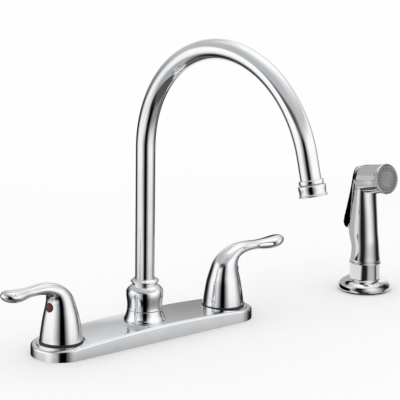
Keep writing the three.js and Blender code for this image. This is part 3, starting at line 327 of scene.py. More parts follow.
def creased(bm, edges, amount=1.0):
    layer = bm.edges.layers.float["crease_edge"]
    for edge in edges:
        edge[layer] = amount


def meshObject(bm, name, placing=None):
    bmesh.ops.transform(bm, matrix=Matrix.Scale(millimetre, 4), verts=bm.verts)
    if placing:
        bmesh.ops.transform(bm, matrix=placing, verts=bm.verts)
    data = bpy.data.meshes.new(name)
    bm.to_mesh(data)
    bm.free()
    made = bpy.data.objects.new(name, data)
    scene.collection.objects.link(made)
    return made


def settled(obj):
    # The mesh with its modifiers applied, so the piece stays at the origin with plain geometry.
    bpy.context.view_layer.update()
    final = bpy.data.meshes.new_from_object(obj.evaluated_get(bpy.context.evaluated_depsgraph_get()))
    obj.modifiers.clear()
    obj.data = final
    return obj


def carved(obj, cutters, operation="DIFFERENCE"):
    for cutter in cutters:
        step = obj.modifiers.new("carve", "BOOLEAN")
        step.operation = operation
        step.solver = "EXACT"
        step.object = cutter
    settled(obj)
    for cutter in cutters:
        bpy.data.objects.remove(cutter)
    return obj


def smoothed(obj, levels=2):
    step = obj.modifiers.new("smooth", "SUBSURF")
    step.levels = step.render_levels = levels
    return settled(obj)


def dressed(obj, slot, body, nodes, sharpDeg=35):
    obj.data.materials.clear()
    obj.data.materials.append(finishes[slot])
    for face in obj.data.polygons:
        face.use_smooth = True
    obj.data.set_sharp_from_angle(angle=math.radians(sharpDeg))
    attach(obj, body)
    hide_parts(*nodes)
    return obj


def placed(x=0.0, y=0.0, z=0.0, turn=(0, 0, 0)):
    turning = Euler([math.radians(t) for t in turn]).to_matrix().to_4x4()
    return Matrix.Translation(Vector((x, y, z)) * millimetre) @ turning


photoView = {
    "azimuth": 39.706, "elevation": 13.866, "roll": 0.738,
    "distance": 2069.8, "focalPixels": 2122.3, "slideX": -53.31, "slideY": 12.51,
    "lookAt": 150.0, "imagePixels": 400, "sensor": 36.0,
}


def takeView(view):
    azimuth, elevation = math.radians(view["azimuth"]), math.radians(view["elevation"])
    back = Vector((
        -math.sin(azimuth) * math.cos(elevation), -math.cos(azimuth) * math.cos(elevation), math.sin(elevation),
    ))
    level = (-back).cross(Vector((0, 0, 1))).normalized()
    upright = level.cross(-back)
    roll = math.radians(view["roll"])
    right = level * math.cos(roll) + upright * math.sin(roll)
    up = upright * math.cos(roll) - level * math.sin(roll)
    centre = Vector((0, 0, view["lookAt"])) + back * view["distance"]
    centre -= right * view["slideX"] + up * view["slideY"]
    lens = bpy.data.cameras.new("photoCamera")
    lens.sensor_width = view["sensor"]
    lens.lens = view["focalPixels"] * view["sensor"] / view["imagePixels"]
    lens.clip_start, lens.clip_end = 0.05, 50.0
    camera = bpy.data.objects.new("photoCamera", lens)
    turn = Matrix((right, up, back)).transposed().to_4x4()
    camera.matrix_world = Matrix.Translation(centre * millimetre) @ turn
    scene.collection.objects.link(camera)
    scene.camera = camera


takeView(photoView)
print("camera placed")


deckPlate = {
    "halfLength": 131.0, "halfWidth": 29.3, "cornerRadius": 28.6, "crown": 16.2, "archDrop": 6.2,
    "wall": 2.4, "edgeRound": 2.4, "seatHeight": 12.4, "seatRadius": 23.2, "bossEdge": 1.2,
    "valveX": 101.6, "valveHole": 13.1, "hubHole": 15.5, "cutStep": 3.2, "cuts": 40,
    "openBelow": -3.0,  # where the hollow's cutter starts
    "topsAbove": 5.0,   # every point of the arched top is above this, and of the foot below it
}


def archBlock(size, inset, low, rounding=0):
    # The plate's rounded outline under its arched top, drawn in all round by inset.
    high = size["crown"] - inset
    bm = bmesh.new()
    bmesh.ops.create_cube(bm, size=1)
    bmesh.ops.scale(
        bm, vec=(2 * (size["halfLength"] - inset), 2 * (size["halfWidth"] - inset), high - low), verts=bm.verts,
    )
    bmesh.ops.translate(bm, vec=(0, 0, (high + low) / 2), verts=bm.verts)
    corners = [e for e in bm.edges if abs(e.verts[0].co.z - e.verts[1].co.z) > 0.5]
    bmesh.ops.bevel(
        bm, geom=corners, offset=size["cornerRadius"] - inset, offset_type="OFFSET", segments=24, profile=0.5,
        affect="EDGES", material=-1,
    )
    if rounding:
        roundRims(bm, rounding, 8, 40, lambda e: min(v.co.z for v in e.verts) > size["topsAbove"])
    for i in range(-size["cuts"], size["cuts"] + 1):
        everything = bm.verts[:] + bm.edges[:] + bm.faces[:]
        bmesh.ops.bisect_plane(bm, geom=everything, plane_co=(i * size["cutStep"], 0, 0), plane_no=(1, 0, 0))
    for vert in bm.verts:
        if vert.co.z > size["topsAbove"]:
            vert.co.z -= size["archDrop"] * (vert.co.x / size["halfLength"]) ** 2
    return bm


def makeDeckPlate(size):
    bm = archBlock(size, 0, 0, size["edgeRound"])
    plate = meshObject(bm, "deckPlate")
    carved(plate, [meshObject(archBlock(size, size["wall"], size["openBelow"]), "inside")])
    under, seat, radius = size["seatHeight"] - size["wall"], size["seatHeight"], size["seatRadius"]
    low, high = through["low"], through["high"]
    bosses, cuts = [], []
    for side in (-1, 1):
        there = placed(side * size["valveX"])
        edge = radius + size["bossEdge"]
        boss = turned([(0, under), (edge, under), (edge, seat), (0, seat)], closed=False)
        bosses.append(meshObject(boss, "boss", there))
        hole = size["valveHole"]
        room = [(0, low), (hole, low), (hole, seat), (radius, seat), (radius, high), (0, high)]
        cuts.append(meshObject(turned(room, closed=False, rim=0), "room", there))
    hole = [(0, low), (size["hubHole"], low), (size["hubHole"], high), (0, high)]
    cuts.append(meshObject(turned(hole, closed=False, rim=0), "hole"))
    carved(plate, bosses, "UNION")
    carved(plate, cuts)
    return dressed(plate, "chrome", "faucet_body", ["deck_plate"], 30)


makeDeckPlate(deckPlate)
print("deck plate made")


hub = {
    "bore": 15.5, "base": 16.2, "ringRadius": 20.7, "ringHeight": 10.8, "rim": 17.6, "skirt": 17.4,
    "shoulder": 18.5, "shoulderHeight": 16.2, "neck": 12.2, "neckHeight": 25.0, "bead": 14.1,
    "nutHeight": 31.0, "neckBore": 10.1, "cavity": 15.8, "gap": 0.3,
    "ringEdge": 1.3, "flarePull": (0.6, 5.9), "nutEdge": 1.2, "skirtStep": 0.5,
    "skirtPulls": (8.0, 5.0), "neckPulls": (4.5, 3.0, 2.0),
    # the bead's side, pull and top, from its own radius and the neck's end
    "beadPoints": ((-0.3, 2.6), (0.2, 3.9), (-1.2, 4.6)),
}


def makeHub(size):
    base, top = size["base"], size["base"] + size["ringHeight"]
    pullOut, pullUp = size["flarePull"]
    pull = (size["rim"] + pullOut, base + pullUp)
    flare = sag((size["ringRadius"], base + size["ringEdge"]), pull, (size["rim"], top), 14)
    ring = turned([(size["bore"], base), (size["ringRadius"], base), *flare, (size["bore"], top)])
    dressed(meshObject(ring, "hubRing"), "chrome", "faucet_body", ["spout_base_ring"])
    low = top + size["gap"]
    bulge, neck, high = low + size["shoulderHeight"], low + size["neckHeight"], low + size["nutHeight"]
    ceiling = low + size["cavity"]
    skirt, shoulder, throat = size["skirt"], size["shoulder"], size["neck"]
    skirtStart = low + size["nutEdge"] + size["skirtStep"]
    skirtLow, skirtHigh = size["skirtPulls"]
    neckUp, neckOut, neckDown = size["neckPulls"]
    beadSide, beadPull, beadTop = [(size["bead"] + out, neck + up) for out, up in size["beadPoints"]]
    body = [
        (size["rim"], low), (size["rim"], low + size["nutEdge"]),
        *curve((skirt, skirtStart), (skirt, bulge - skirtLow), (shoulder, bulge - skirtHigh), (shoulder, bulge), 16),
        *curve((shoulder, bulge), (shoulder, bulge + neckUp),
               (throat + neckOut, neck - neckDown), (throat, neck), 14)[1:],
        *sag((throat, neck), (throat, neck + size["nutEdge"]), beadSide, 6)[1:],
        *sag(beadSide, beadPull, beadTop, 8)[1:],
        (size["neckBore"] + 1, high), (size["neckBore"], high), (size["neckBore"], ceiling),
        (size["bore"], ceiling), (size["bore"], low),
    ]
    dressed(meshObject(turned(body, rim=0.25), "hubNut"), "chrome", "faucet_body", ["spout_nut"])


makeHub(hub)
print("hub made")


spout = {
    "radius": 9.6, "bore": 8.4, "bottom": 24.0, "riserTop": 189.5, "bendRadius": 111.0, "bendDeg": 165.6,
    "tail": 19.7, "plug": 3.0, "sides": 64, "bendSteps": 120, "turnDeg": 3.25, "riserRings": (60.0, 120.0),
}


def sweepSpout(size, radius):
    bm = bmesh.new()
    ring = bmesh.ops.create_circle(
        bm, cap_ends=False, segments=size["sides"], radius=radius,
        matrix=Matrix.Translation((0, 0, size["bottom"])),
    )["verts"]
    edges = edgesOf(ring)
    for height in (*size["riserRings"], size["riserTop"]):
        ring, edges = grownRing(bm, edges)
        for vert in ring:
            vert.co.z = height
    bent = bmesh.ops.spin(
        bm, geom=ring + edges, cent=(0, -size["bendRadius"], size["riserTop"]), axis=(1, 0, 0),
        angle=math.radians(size["bendDeg"]), steps=size["bendSteps"], use_merge=False, use_duplicate=False,
    )["geom_last"]
    ring, _ = grownRing(bm, [g for g in bent if isinstance(g, bmesh.types.BMEdge)])
    angle = math.radians(size["bendDeg"])
    onward = Vector((0, -math.sin(angle), math.cos(angle)))
    bmesh.ops.translate(bm, vec=onward * (size["tail"] + size["plug"]), verts=ring)
    return bm


def makeSpoutTube(size):
    bm = sweepSpout(size, size["radius"])
    tube = meshObject(bm, "spoutTube", placed(turn=(0, 0, size["turnDeg"])))
    wall = tube.modifiers.new("wall", "SOLIDIFY")
    wall.thickness = (size["radius"] - size["bore"]) * millimetre
    wall.offset = -1
    settled(tube)
    bm = bmesh.new()
    bm.from_mesh(tube.data)
    bmesh.ops.recalc_face_normals(bm, faces=bm.faces)
    bm.to_mesh(tube.data)
    bm.free()
    return dressed(tube, "chrome", "spout", ["spout_tube"])


makeSpoutTube(spout)
print("spout tube made")


spoutEnd = {
    "threadRadius": 10.2, "bore": 8.0, "collarRadius": 11.4, "collarHeight": 4.3, "collarPlug": 3.3,
    "threadLength": 4.7, "radius": 12.8, "height": 10.5, "rim": 13.1, "rimHeight": 1.2, "lip": 1.2,
    "wall": 2.3, "gap": 0.3, "edge": 1.1, "soft": 0.6,
}


def endPlace(size):
    angle = math.radians(size["bendDeg"])
    y = -size["bendRadius"] * (1 - math.cos(angle)) - size["tail"] * math.sin(angle)
    z = size["riserTop"] + size["bendRadius"] * math.sin(angle) + size["tail"] * math.cos(angle)
    return placed(turn=(0, 0, size["turnDeg"])) @ placed(0, y, z, (size["bendDeg"] - 180, 0, 0))


def makeSpoutEnd(size, there):
    seat = spout["radius"] + size["gap"]
    threadEnd = -size["collarHeight"] - size["threadLength"]
    wide, soft, end = size["collarRadius"], size["soft"], -size["collarHeight"]
    collar = [
        (seat, 0), (wide - soft, 0), (wide, -soft), (wide, soft + end), (wide - soft, end),
        (size["threadRadius"], end), (size["threadRadius"], threadEnd),
        (size["bore"], threadEnd), (size["bore"], -size["collarPlug"]), (seat, -size["collarPlug"]),
    ]
    made = meshObject(turned(collar, rim=0.2, rimAngle=25), "spoutCollar", there)
    dressed(made, "chrome", "spout", ["spout_collar"])
    top = end - size["gap"]
    low = top - size["height"]
    radius, edge, rimHeight = size["radius"], size["edge"], size["rimHeight"]
    bore, waist = radius - size["wall"], (radius, top - 2.5 * edge)
    housing = [
        (bore, top), (wide, top),
        *sag((wide, top), (radius, top - size["gap"]), (radius, top - edge), 5)[1:],
        waist,
        *sag(waist, (radius - soft, low + 3.6 * rimHeight), (radius - 0.5, low + 1.8 * rimHeight), 6)[1:],
        (size["rim"], low + rimHeight), (size["rim"], low + 0.3 * rimHeight),
        (size["rim"] - 0.5, low), (bore - 1, low), (bore - 1, low + size["lip"]), (bore, low + size["lip"]),
    ]
    made = turned(housing, rim=0.18, rimAngle=25)
    dressed(meshObject(made, "aeratorHousing", there), "chrome", "spout", ["aerator_housing"])


makeSpoutEnd(spoutEnd, endPlace(spout))
print("spout end made")


seatRing = {"bore": 13.1, "radius": 21.5, "low": 12.4, "high": 14.4, "edge": 0.5}


def makeSeatRing(size, name, x):
    outline = [
        (size["bore"], size["low"]), (size["radius"], size["low"]), (size["radius"], size["high"] - size["edge"]),
        (size["radius"] - size["edge"], size["high"]), (size["bore"], size["high"]),
    ]
    made = meshObject(turned(outline, rim=0.15), f"{name}SeatRing", placed(x))
    dressed(made, "plastic_black", "faucet_body", [f"seat_ring_{name}"])


for name, side in (("hot", -1), ("cold", 1)):
    makeSeatRing(seatRing, name, side * deckPlate["valveX"])
print("seat rings made")


handle = {
    "bottom": 14.7, "forwardDeg": {"hot": 7.5, "cold": 4.0}, "wall": 2.3, "segments": 24,
    "cavity": [(26.0, 14.0), (29.3, 11.9)],  # height and radius where its wall turns in, and of its ceiling
    # under point, top point and half width of each cross-section: along the lever, above the rim
    "stations": [
        ((21.3, 0.0), (-21.3, 0.0), 21.3),
        ((20.8, 5.5), (-20.8, 5.5), 20.8),
        ((19.3, 15.3), (-19.3, 15.3), 19.3),
        ((17.7, 24.5), (-17.7, 24.5), 17.7),
        ((16.0, 31.3), (-15.2, 31.9), 15.7),
        ((14.9, 37.4), (-12.7, 39.5), 14.1),
        ((14.8, 42.0), (-9.4, 46.0), 12.9),
        ((15.9, 45.5), (-3.9, 51.4), 11.6),
        ((19.0, 47.7), (3.2, 56.0), 10.2),
        ((23.5, 48.9), (12.0, 59.2), 8.6),
        ((29.5, 50.0), (22.5, 61.0), 7.6),
        ((36.0, 50.2), (34.0, 60.4), 6.8),
        ((42.5, 50.2), (42.5, 59.9), 6.6),
        ((50.0, 49.0), (50.0, 60.4), 8.2),
        ((58.0, 48.4), (58.0, 61.0), 9.9),
        ((65.0, 49.4), (65.0, 61.9), 10.0),
        ((70.5, 51.4), (70.0, 61.9), 8.0),
        ((74.0, 54.1), (73.8, 60.5), 4.6),
        ((75.5, 56.6), (75.3, 58.0), 1.0),
    ],
}
indexButton = {
    "radius": 4.5, "height": 32.0, "front": 15.6, "depth": 3.2, "crown": 2.2, "tiltDeg": 9.0, "flat": 0.8,
    "gap": 0.25, "gapBehind": 0.3,
}


def makeHandle(size, name, side, slot):
    forward = size["forwardDeg"][name]
    turn = -forward if side > 0 else 180 + forward
    there = placed(side * deckPlate["valveX"], 0, size["bottom"], (0, 0, turn))
    bm, rings = lofted(size["stations"], size["segments"])
    creased(bm, rings[0])
    ring, edges = grownRing(bm, rings[0])
    share = 1 - size["wall"] / size["stations"][0][2]
    bmesh.ops.scale(bm, vec=(share, share, 1), verts=ring)
    creased(bm, edges)
    for height, radius in size["cavity"]:
        ring, edges = grownRing(bm, edges)
        for vert in ring:
            spread = radius / math.hypot(vert.co.x, vert.co.y)
            vert.co = (vert.co.x * spread, vert.co.y * spread, height)
    bmesh.ops.contextual_create(bm, geom=edges)
    bmesh.ops.contextual_create(bm, geom=rings[-1])
    bmesh.ops.recalc_face_normals(bm, faces=bm.faces)
    made = smoothed(meshObject(bm, f"{name}Handle", there), 3)
    pointing = there @ placed(0, 0, indexButton["height"], (0, 90 - indexButton["tiltDeg"], 0))
    back, front = indexButton["front"] - indexButton["depth"], indexButton["front"]
    floor, wide, high = back - indexButton["gapBehind"], indexButton["radius"] + indexButton["gap"], through["high"]
    seat = turned([(0, floor), (wide, floor), (wide, high), (0, high)], closed=False, rim=0)
    carved(made, [meshObject(seat, "seat", pointing)])
    dressed(made, "chrome", f"{name}_handle", [f"handle_{name}"], 40)
    edge, top = indexButton["radius"], front + indexButton["crown"]
    face = [(0, back), (edge, back), *sag((edge, front), (edge - indexButton["flat"], top), (0, top), 12)]
    button = meshObject(turned(face, closed=False, rim=0.15), f"{name}Button", pointing)
    dressed(button, slot, f"{name}_handle", [f"index_button_{name}"])


makeHandle(handle, "hot", -1, "index_red")
makeHandle(handle, "cold", 1, "index_blue")
print("handles made")


sprayPlace = {"x": 288.0, "y": -14.3}
sprayAxis = placed(sprayPlace["x"], sprayPlace["y"])
holder = {
    "base": 1.5, "flange": 28.2, "rim": 2.0, "domeTop": 11.8, "foot": 13.4, "cup": 16.4, "lip": 17.0, "top": 31.2,
    "bore": 14.4, "floor": 9.0, "hole": 12.8,
}
holderShank = {
    "bore": 10.4, "radius": 12.5, "length": 38.0, "collarTop": 12.0, "collarThickness": 2.7, "collar": 14.0,
    "pitch": 2.0, "tooth": 0.6, "threadStart": 0.5, "threadEnd": -4.0, "threadTop": -3.0,
}


def threaded(radius, low, high, pitch, depth):
    # the zigzag of a screw thread from low to high
    count = int((high - low) / pitch)
    points = []
    for i in range(count):
        z = low + i * pitch
        points += [(radius - depth, z), (radius, z + pitch * 0.35)]
        points += [(radius, z + pitch * 0.5), (radius - depth, z + pitch * 0.85)]
    return points


def makeHolder(size):
    base, cup, lip, top, dome = size["base"], size["cup"], size["lip"], size["top"], size["domeTop"]
    rimTop = base + size["rim"] - 0.6
    flange = size["flange"]
    outline = [
        (size["hole"], base), (flange - 0.5, base), (flange, base + 0.8), (flange, rimTop),
        *[(cup + (flange - cup) * x, rimTop + (dome - rimTop) * z) for x, z in arc((0, 0), 1, 4, 84, 20)],
        *sag((cup + 0.9, dome), (cup, dome), (cup, size["foot"]), 5),
        (cup, top - 4),
        *sag((cup, top - 4), (lip - 0.1, top - 2.4), (lip, top - 1), 6)[1:],
        (lip - 0.4, top), (size["bore"], top), (size["bore"], size["floor"]), (size["hole"], size["floor"]),
    ]
    made = meshObject(turned(outline, rim=0.12, rimAngle=50), "sprayHolder", sprayAxis)
    dressed(made, "chrome", "faucet_body", ["spray_holder"])


def makeHolderShank(size):
    under = size["collarTop"] - size["collarThickness"]
    outline = [
        (size["bore"], -size["length"]), (size["radius"] - size["tooth"], -size["length"]),
        *threaded(
            size["radius"], size["threadStart"] - size["length"], size["threadEnd"], size["pitch"], size["tooth"],
        ),
        (size["radius"], size["threadTop"]), (size["radius"], under), (size["collar"], under),
        (size["collar"], size["collarTop"]), (size["bore"], size["collarTop"]),
    ]
    made = meshObject(turned(outline, rim=0.12, rimAngle=50), "holderShank", sprayAxis)
    dressed(made, "plastic_black", "faucet_body", ["holder_shank"])


makeHolder(holder)
makeHolderShank(holderShank)
print("spray holder made")


wand = {
    "foot": 31.5, "footRadius": 16.1, "plugDepth": 17.0, "plugRadius": 14.1, "waist": 14.8, "waistHeight": 46.0,
    # height, depth in front of and behind the foot's axis, and half the width
    "grip": [
        (51.7, 14.4, 17.0, 14.8), (57.5, 13.8, 19.6, 14.8), (63.5, 12.9, 21.6, 14.6), (72.6, 12.1, 20.2, 14.3),
        (85.9, 10.8, 17.8, 13.6), (103.0, 8.5, 14.2, 12.8), (110.0, 8.5, 12.9, 12.8), (116.0, 8.4, 11.8, 12.5),
    ],
    "axisHeight": 120.2, "headRadius": 15.4, "headTiltDeg": 11.0, "headBack": 14.0, "reach": 25.8, "segments": 32,
    "drain": 0.8, "drainHeight": 36.0, "drainDeg": 194.0, "drainDepth": 1.5, "well": 12.0, "wellDepth": 3.0,
}
trigger = {
    "pivot": (8.5, 126.5), "ear": 3.7, "halfWidth": 8.0, "sideWall": 1.6, "thickness": 2.0, "tip": (27.3, 69.5),
    "sideDepth": 10.1, "gap": 0.3, "pocketFloor": 2.5, "pocketEnd": 66.0, "pocketOut": 40.0, "round": 0.7,
}
nozzle = {
    "rim": 16.1, "rimLength": 3.3, "face": 14.0, "thickness": 2.6,
    "holes": 24, "hole": 0.95, "holeDepth": 3.0, "holeCircle": 11.6,
    "disc": 8.9, "discDepth": 1.0, "gap": 0.3, "sunk": 0.5,
}


def headFrame(size):
    # from the head's own axis (Z out of the nozzle) to the wand
    return sprayAxis @ placed(z=size["axisHeight"], turn=(90 - size["headTiltDeg"], 0, 0))


def gripStations(size):
    # (under, top, half) cross-sections, where the first number runs to the back
    def level(radius, z):
        return ((-radius, z), (radius, z), radius)

    foot = size["foot"]
    return [
        level(size["plugRadius"] - 1, foot - size["plugDepth"]), level(size["plugRadius"], foot - 0.4),
        level(size["plugRadius"], foot), level(size["footRadius"], foot), level(size["footRadius"], foot + 2.6),
        level(size["waist"] + 0.6, foot + 6), level(size["waist"], size["waistHeight"]),
        *[((-front, z), (back, z), half) for z, front, back, half in size["grip"]],
    ]


def triggerBack(size):
    (py, pz), (ty, tz) = size["pivot"], size["tip"]
    return [*sag((py + 6.9, pz - 5), (py + 10, pz - 24), (ty - 1.1, tz + 6.5), 16), (ty, tz)]


def triggerOutline(size):
    # the side view, in steps from the pivot and from the tip
    (py, pz), (ty, tz), ear = size["pivot"], size["tip"], size["ear"]
    return [
        (py - ear + 0.2, pz + 2),
        *sag((py - ear + 0.2, pz + 2), (py - ear, pz + 8.2), (py + 1, pz + 6.7), 8)[1:],
        *sag((py + 1, pz + 6.7), (py + 5.2, pz + 3.6), (py + 6.9, pz - 5), 8)[1:],
        *triggerBack(size)[1:],
        (ty - 1.3, tz - 3.3), (ty - 4.5, tz - 5.9), (ty - size["sideDepth"], tz - 5),
        *sag((ty - size["sideDepth"], tz - 5), (py + 6.5, pz - 36.5), (py + 4.9, pz - 14), 14)[1:],
        (py + ear - 0.8, pz - ear + 0.2), (py - 1, pz - ear), (py - ear + 0.2, pz - 1),
    ]


def slab(outline, halfWidth):
    # A side view, (back, up), made as wide as the trigger across X.
    bm = bmesh.new()
    corners = [bm.verts.new((-halfWidth, y, z)) for y, z in outline]
    face = bm.faces.new(corners)
    grown = bmesh.ops.extrude_face_region(bm, geom=[face])["geom"]
    bmesh.ops.translate(bm, vec=(2 * halfWidth, 0, 0), verts=vertsOf(grown))
    bmesh.ops.recalc_face_normals(bm, faces=bm.faces)
    return bm


def triggerPocket(size):
    (py, pz), ear = size["pivot"], size["ear"]
    front, floor = py - ear - size["gap"], py + size["pocketFloor"]
    end, beyond = pz - size["pocketEnd"], size["pocketOut"]
    outline = [
        (front, pz + 20), (front, pz - ear - 0.5), (floor, pz - ear - 1.6), (floor, end), (beyond, end),
        (beyond, pz + 20),
    ]
    return meshObject(slab(outline, size["halfWidth"] + size["gap"]), "pocket", sprayAxis)


def nozzleWell(size):
    radius, low, high = size["well"], size["reach"] - size["wellDepth"], size["reach"] + 2
    well = turned([(0, low), (radius, low), (radius, high), (0, high)], closed=False, rim=0)
    return meshObject(well, "well", headFrame(size))


def drainHole(size):
    drain = turned([(0, 0), (size["drain"], 0), (size["drain"], 4), (0, 4)], steps=24, closed=False, rim=0)
    out = placed(size["waist"] - size["drainDepth"], 0, size["drainHeight"], (0, 90, 0))
    return meshObject(drain, "drain", sprayAxis @ placed(turn=(0, 0, size["drainDeg"])) @ out)


def makeWand(size):
    bm, rings = lofted(gripStations(size), size["segments"])
    bmesh.ops.contextual_create(bm, geom=rings[0])
    bmesh.ops.contextual_create(bm, geom=rings[-1])
    bmesh.ops.recalc_face_normals(bm, faces=bm.faces)
    for index in (0, 2, 3, len(rings) - 1):
        creased(bm, rings[index])
    creased(bm, rings[4], 0.5)
    bmesh.ops.transform(bm, matrix=Matrix.Rotation(math.radians(90), 4, "Z"), verts=bm.verts)
    made = smoothed(meshObject(bm, "sprayBody", sprayAxis), 2)
    radius, depth, reach = size["headRadius"], size["headBack"], size["reach"]
    head = [(radius * x, depth * z) for x, z in arc((0, 0), 1, -90, 0, 24)]
    head += [*sag((radius, reach - 7), (radius, reach - 3), (nozzle["rim"] - 0.2, reach), 6), (0, reach)]
    carved(made, [meshObject(turned(head, closed=False, rim=0.2), "head", headFrame(size))], "UNION")
    carved(made, [triggerPocket(trigger), nozzleWell(size), drainHole(size)])
    dressed(made, "chrome", "sprayer", ["spray_body"], 40)


def makeTrigger(size):
    bm = slab(triggerOutline(size), size["halfWidth"])
    roundRims(bm, size["round"], 4, 50)
    web = [(y - size["thickness"], z) for y, z in triggerBack(size)[4:]]
    below = size["tip"][1] - 10
    hollow = slab([(0, web[0][1]), *web, (web[-1][0], below), (0, below)], size["halfWidth"] - size["sideWall"])
    made = carved(meshObject(bm, "sprayTrigger", sprayAxis), [meshObject(hollow, "hollow", sprayAxis)])
    dressed(made, "chrome", "trigger", ["spray_trigger"], 40)


def makeNozzle(size):
    there = headFrame(wand)
    start = wand["reach"] + size["gap"]
    end = start + size["rimLength"]
    rim = [
        (size["face"] + size["gap"], start), (size["rim"] - 0.2, start), (size["rim"], end - 0.8),
        (size["rim"] - 0.7, end), (size["face"] + size["gap"] + 0.3, end), (size["face"] + size["gap"], end - 0.4),
    ]
    dressed(meshObject(turned(rim, rim=0.25, rimAngle=30), "sprayRim", there), "chrome", "sprayer", ["spray_rim"])
    front = end - size["sunk"]
    back, floor = front - size["thickness"], front - size["discDepth"] - size["gap"]
    socket = size["disc"] + size["gap"]
    plate = [(0, back), (size["face"], back), (size["face"], front), (socket, front), (socket, floor), (0, floor)]
    face = meshObject(turned(plate, closed=False, rim=0.15), "sprayFace", there)
    drill = bmesh.new()
    for i in range(size["holes"]):
        angle = 2 * math.pi * i / size["holes"]
        at = (size["holeCircle"] * math.cos(angle), size["holeCircle"] * math.sin(angle), front)
        bmesh.ops.create_cone(
            drill, cap_ends=True, segments=16, radius1=size["hole"], radius2=size["hole"],
            depth=size["holeDepth"], matrix=Matrix.Translation(at),
        )
    carved(face, [meshObject(drill, "drill", there)])
    dressed(face, "plastic_grey", "sprayer", ["spray_face"])
    disc = [(0, front - size["discDepth"]), (size["disc"], front - size["discDepth"]), (size["disc"], front + 0.1),
            *sag((size["disc"] - 0.3, front + 0.4), (size["disc"] * 0.6, front + 0.4), (0, front + 0.4), 4)]
    dressed(meshObject(turned(disc, closed=False, rim=0.12), "sprayCentre", there), "plastic_grey", "sprayer",
            ["spray_center_disc"])


makeWand(wand)
makeTrigger(trigger)
makeNozzle(nozzle)
print("side spray made")


slotOf = {row["node"]: row["material_slot"] for row in frame["record"]["subparts"]}
for name, node in frame["nodes"].items():
    if node.hide_render:
        continue
    node.data.materials.clear()
    node.data.materials.append(finishes[slotOf[name]])
print("inner pieces finished")


floorSize = 6.0
studio = {
    "floorColour": (0.995, 0.995, 0.995),
    "tentRadius": 700.0,
    "tentHeight": 100.0,  # of the tent's middle
    "dim": 0.015,         # where no light falls on the tent
    "bright": 1.12,       # its brightest
    # Soft boxes on the tent, each from where it starts, is full, stays full and ends: in degrees round the
    # object, 0 behind the camera and 90 to its right, then in degrees up, and its brightness.
    "lights": [
        ((-122, -86, -52, 0), (-34, -14, 20, 38), 0.86),       # left
        ((-122, -86, -52, 0), (-18, -2, 20, 38), 0.2),
        ((-62, -44, -20, -5), (-34, -26, -18, -8), 0.26),
        ((8, 52, 74, 130), (-34, -14, 20, 40), 0.86),          # right
        ((8, 52, 74, 130), (-18, -2, 20, 40), 0.2),
        ((84, 110, 160, 180), (-6, 6, 60, 90), 0.25),
        ((-400, -399, 399, 400), (0, 36, 399, 400), 0.52),     # overhead
        ((-10, 130, 399, 400), (30, 62, 399, 400), 0.5),       # overhead, behind on the right
        ((-400, -399, -165, -95), (44, 66, 399, 400), 0.36),   # overhead, behind on the left
        ((-400, -399, 399, 400), (60, 90, 399, 400), 0.3),     # straight above
        ((-400, -399, -168, -150), (-42, -32, 2, 12), 1.0),    # behind, low
        ((148, 172, 399, 400), (-42, -32, -18, -4), 0.9),
        ((150, 185, 399, 400), (-18, -8, 30, 50), 0.35),
        ((-400, -399, -168, -150), (0, 10, 30, 50), 0.3),
        ((-400, -399, -150, -110), (2, 14, 24, 40), 0.12),
        ((118, 132, 160, 172), (-52, -46, -36, -28), 0.6),
        ((-104, -82, -50, -26), (-400, -399, -34, -16), 0.42),  # the paper in front, left
        ((16, 44, 96, 124), (-56, -40, -34, -16), 0.28),        # and right
        ((-400, -399, 399, 400), (-400, -399, -52, -40), 0.08),
    ],
    # Black cards in front of them, and how much of the light each one takes
    "cards": [
        ((-14, -4, 10, 20), (-48, -36, 22, 32), 0.97),
        ((-72, -38, -10, 20), (18, 28, 34, 44), 0.85),
    ],
}


def makeFloor():
    bm = bmesh.new()
    bmesh.ops.create_grid(bm, x_segments=1, y_segments=1, size=floorSize / 2 / millimetre)
    floor = meshObject(bm, "floor")
    look = Finish("floorPaper")
    floor.data.materials.append(look.surface(base_color=(*studio["floorColour"], 1), roughness=0.9))
    floor.visible_glossy = False


# Degrees round a standing axis at x and y, 0 towards the camera and 90 to its right, and the height.
def sideOf(look, atX=0.0, atY=0.0):
    axes = look.node("ShaderNodeSeparateXYZ", {}, {"Vector": look.place}, output=None)
    x, y, z = (Wire(look, axes.outputs[i]) for i in range(3))
    x, y = x - atX * millimetre, y - atY * millimetre
    azimuth = math.radians(photoView["azimuth"])
    back = (-math.sin(azimuth)) * x + (-math.cos(azimuth)) * y
    right = math.cos(azimuth) * x + (-math.sin(azimuth)) * y
    return right.maths("ARCTAN2", back) * (180 / math.pi), z


# A light tent stands round the object, where polished metal alone sees its soft boxes and cards.
def makeTent():
    bm = bmesh.new()
    bmesh.ops.create_uvsphere(bm, u_segments=96, v_segments=48, radius=studio["tentRadius"])
    tent = meshObject(bm, "lightTent", placed(z=studio["tentHeight"]))
    look = Finish("tentCloth")
    side, z = sideOf(look)
    up = (z - studio["tentHeight"] * millimetre) / (studio["tentRadius"] * millimetre)
    lift = up.maths("ARCSINE") * (180 / math.pi)
    level = studio["dim"]
    for across, upward, brightness in studio["lights"]:
        level = level + brightness * side.window(*across) * lift.window(*upward)
    for across, upward, share in studio["cards"]:
        level = level * (1 - share * side.window(*across) * lift.window(*upward))
    mirroredOnly(tent, look, look.glow(level, studio["bright"]))


def mirroredOnly(obj, look, shader):
    look.node("ShaderNodeOutputMaterial", {}, {"Surface": shader}, output=None)
    look.material.cycles.emission_sampling = "NONE"
    obj.data.materials.append(look.material)
    for ray in ("camera", "diffuse", "transmission", "shadow", "volume_scatter"):
        setattr(obj, "visible_" + ray, False)


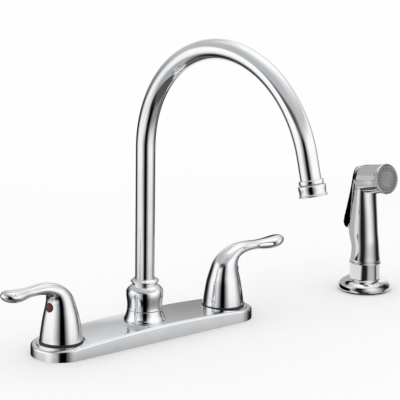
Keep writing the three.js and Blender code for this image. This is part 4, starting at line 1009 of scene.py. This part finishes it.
sprayTent = {
    "radius": 125.0, "low": -150.0, "high": 300.0,
    "reach": 185.0,  # nothing further off than this sees it
    "near": 113.0,   # the trigger, nearer than this, sees its left side dark
    "nearSide": (-70, -50),
    # where it is bright: degrees round the spray, then height, and brightness
    "lights": [
        ((-400, -399, -40, -22), (-400, -399, -8, 6), 0.8),    # low, round the foot
        ((4, 30, 56, 82), (-400, -399, -8, 6), 0.52),
        ((78, 96, 399, 400), (-400, -399, -8, 6), 0.62),
        ((112, 140, 399, 400), (-400, -399, -8, 6), 0.3),
        ((-96, -80, -66, -36), (-8, 6, 92, 104), 0.8),         # left of the grip
        ((-400, -399, -96, -80), (-8, 6, 84, 98), 0.46),
        ((-20, 26, 34, 92), (-8, 6, 399, 400), 0.7),           # right of the grip
        ((-20, 26, 34, 92), (30, 55, 399, 400), 0.25),
        ((108, 156, 399, 400), (-8, 6, 92, 120), 0.95),
        ((-400, -399, -84, -70), (150, 168, 399, 400), 0.44),  # round the head
        ((-118, -104, -86, -70), (92, 104, 150, 168), 0.58),
        ((-84, -72, -56, -40), (92, 104, 399, 400), 0.7),
        ((92, 110, 399, 400), (92, 120, 399, 400), 0.42),
    ],
}


# A small tent of its own stands close round the side spray, and nothing but the spray sees it.
def makeSprayTent(size):
    bm = bmesh.new()
    bmesh.ops.create_cone(
        bm, cap_ends=False, segments=96, radius1=size["radius"], radius2=size["radius"],
        depth=size["high"] - size["low"],
    )
    bmesh.ops.reverse_faces(bm, faces=bm.faces)
    middle = (size["high"] + size["low"]) / 2
    tent = meshObject(bm, "sprayTent", placed(sprayPlace["x"], sprayPlace["y"], middle))
    look = Finish("sprayTentCloth")
    side, z = sideOf(look, sprayPlace["x"], sprayPlace["y"])
    height = z / millimetre
    level = studio["dim"]
    for across, upward, brightness in size["lights"]:
        level = level + brightness * side.window(*across) * height.window(*upward)
    behind = look.node("ShaderNodeNewGeometry", output="Backfacing")
    length = look.node("ShaderNodeLightPath", output="Ray Length") / millimetre
    far = length.maths("GREATER_THAN", size["reach"])
    level = level * (1 - length.maths("LESS_THAN", size["near"]) * (1 - side.rise(*size["nearSide"])))
    clear = look.node("ShaderNodeBsdfTransparent", output="BSDF")
    mirroredOnly(tent, look, look.node("ShaderNodeMixShader", {}, {
        0: (1 - behind) * (1 - far), 1: clear, 2: look.glow(level, studio["bright"]),
    }, output="Shader"))


def makeWorld():
    world = bpy.data.worlds.new("studio")
    scene.world = world
    world.use_nodes = True
    tree = NodeTree(world.node_tree)
    shade = tree.node("ShaderNodeBackground", {}, {"Color": (1, 1, 1, 1), "Strength": 1.0})
    tree.node("ShaderNodeOutputWorld", {}, {"Surface": shade}, output=None)


makeFloor()
makeTent()
makeSprayTent(sprayTent)
makeWorld()
scene.view_settings.view_transform = "Standard"
print("studio made")
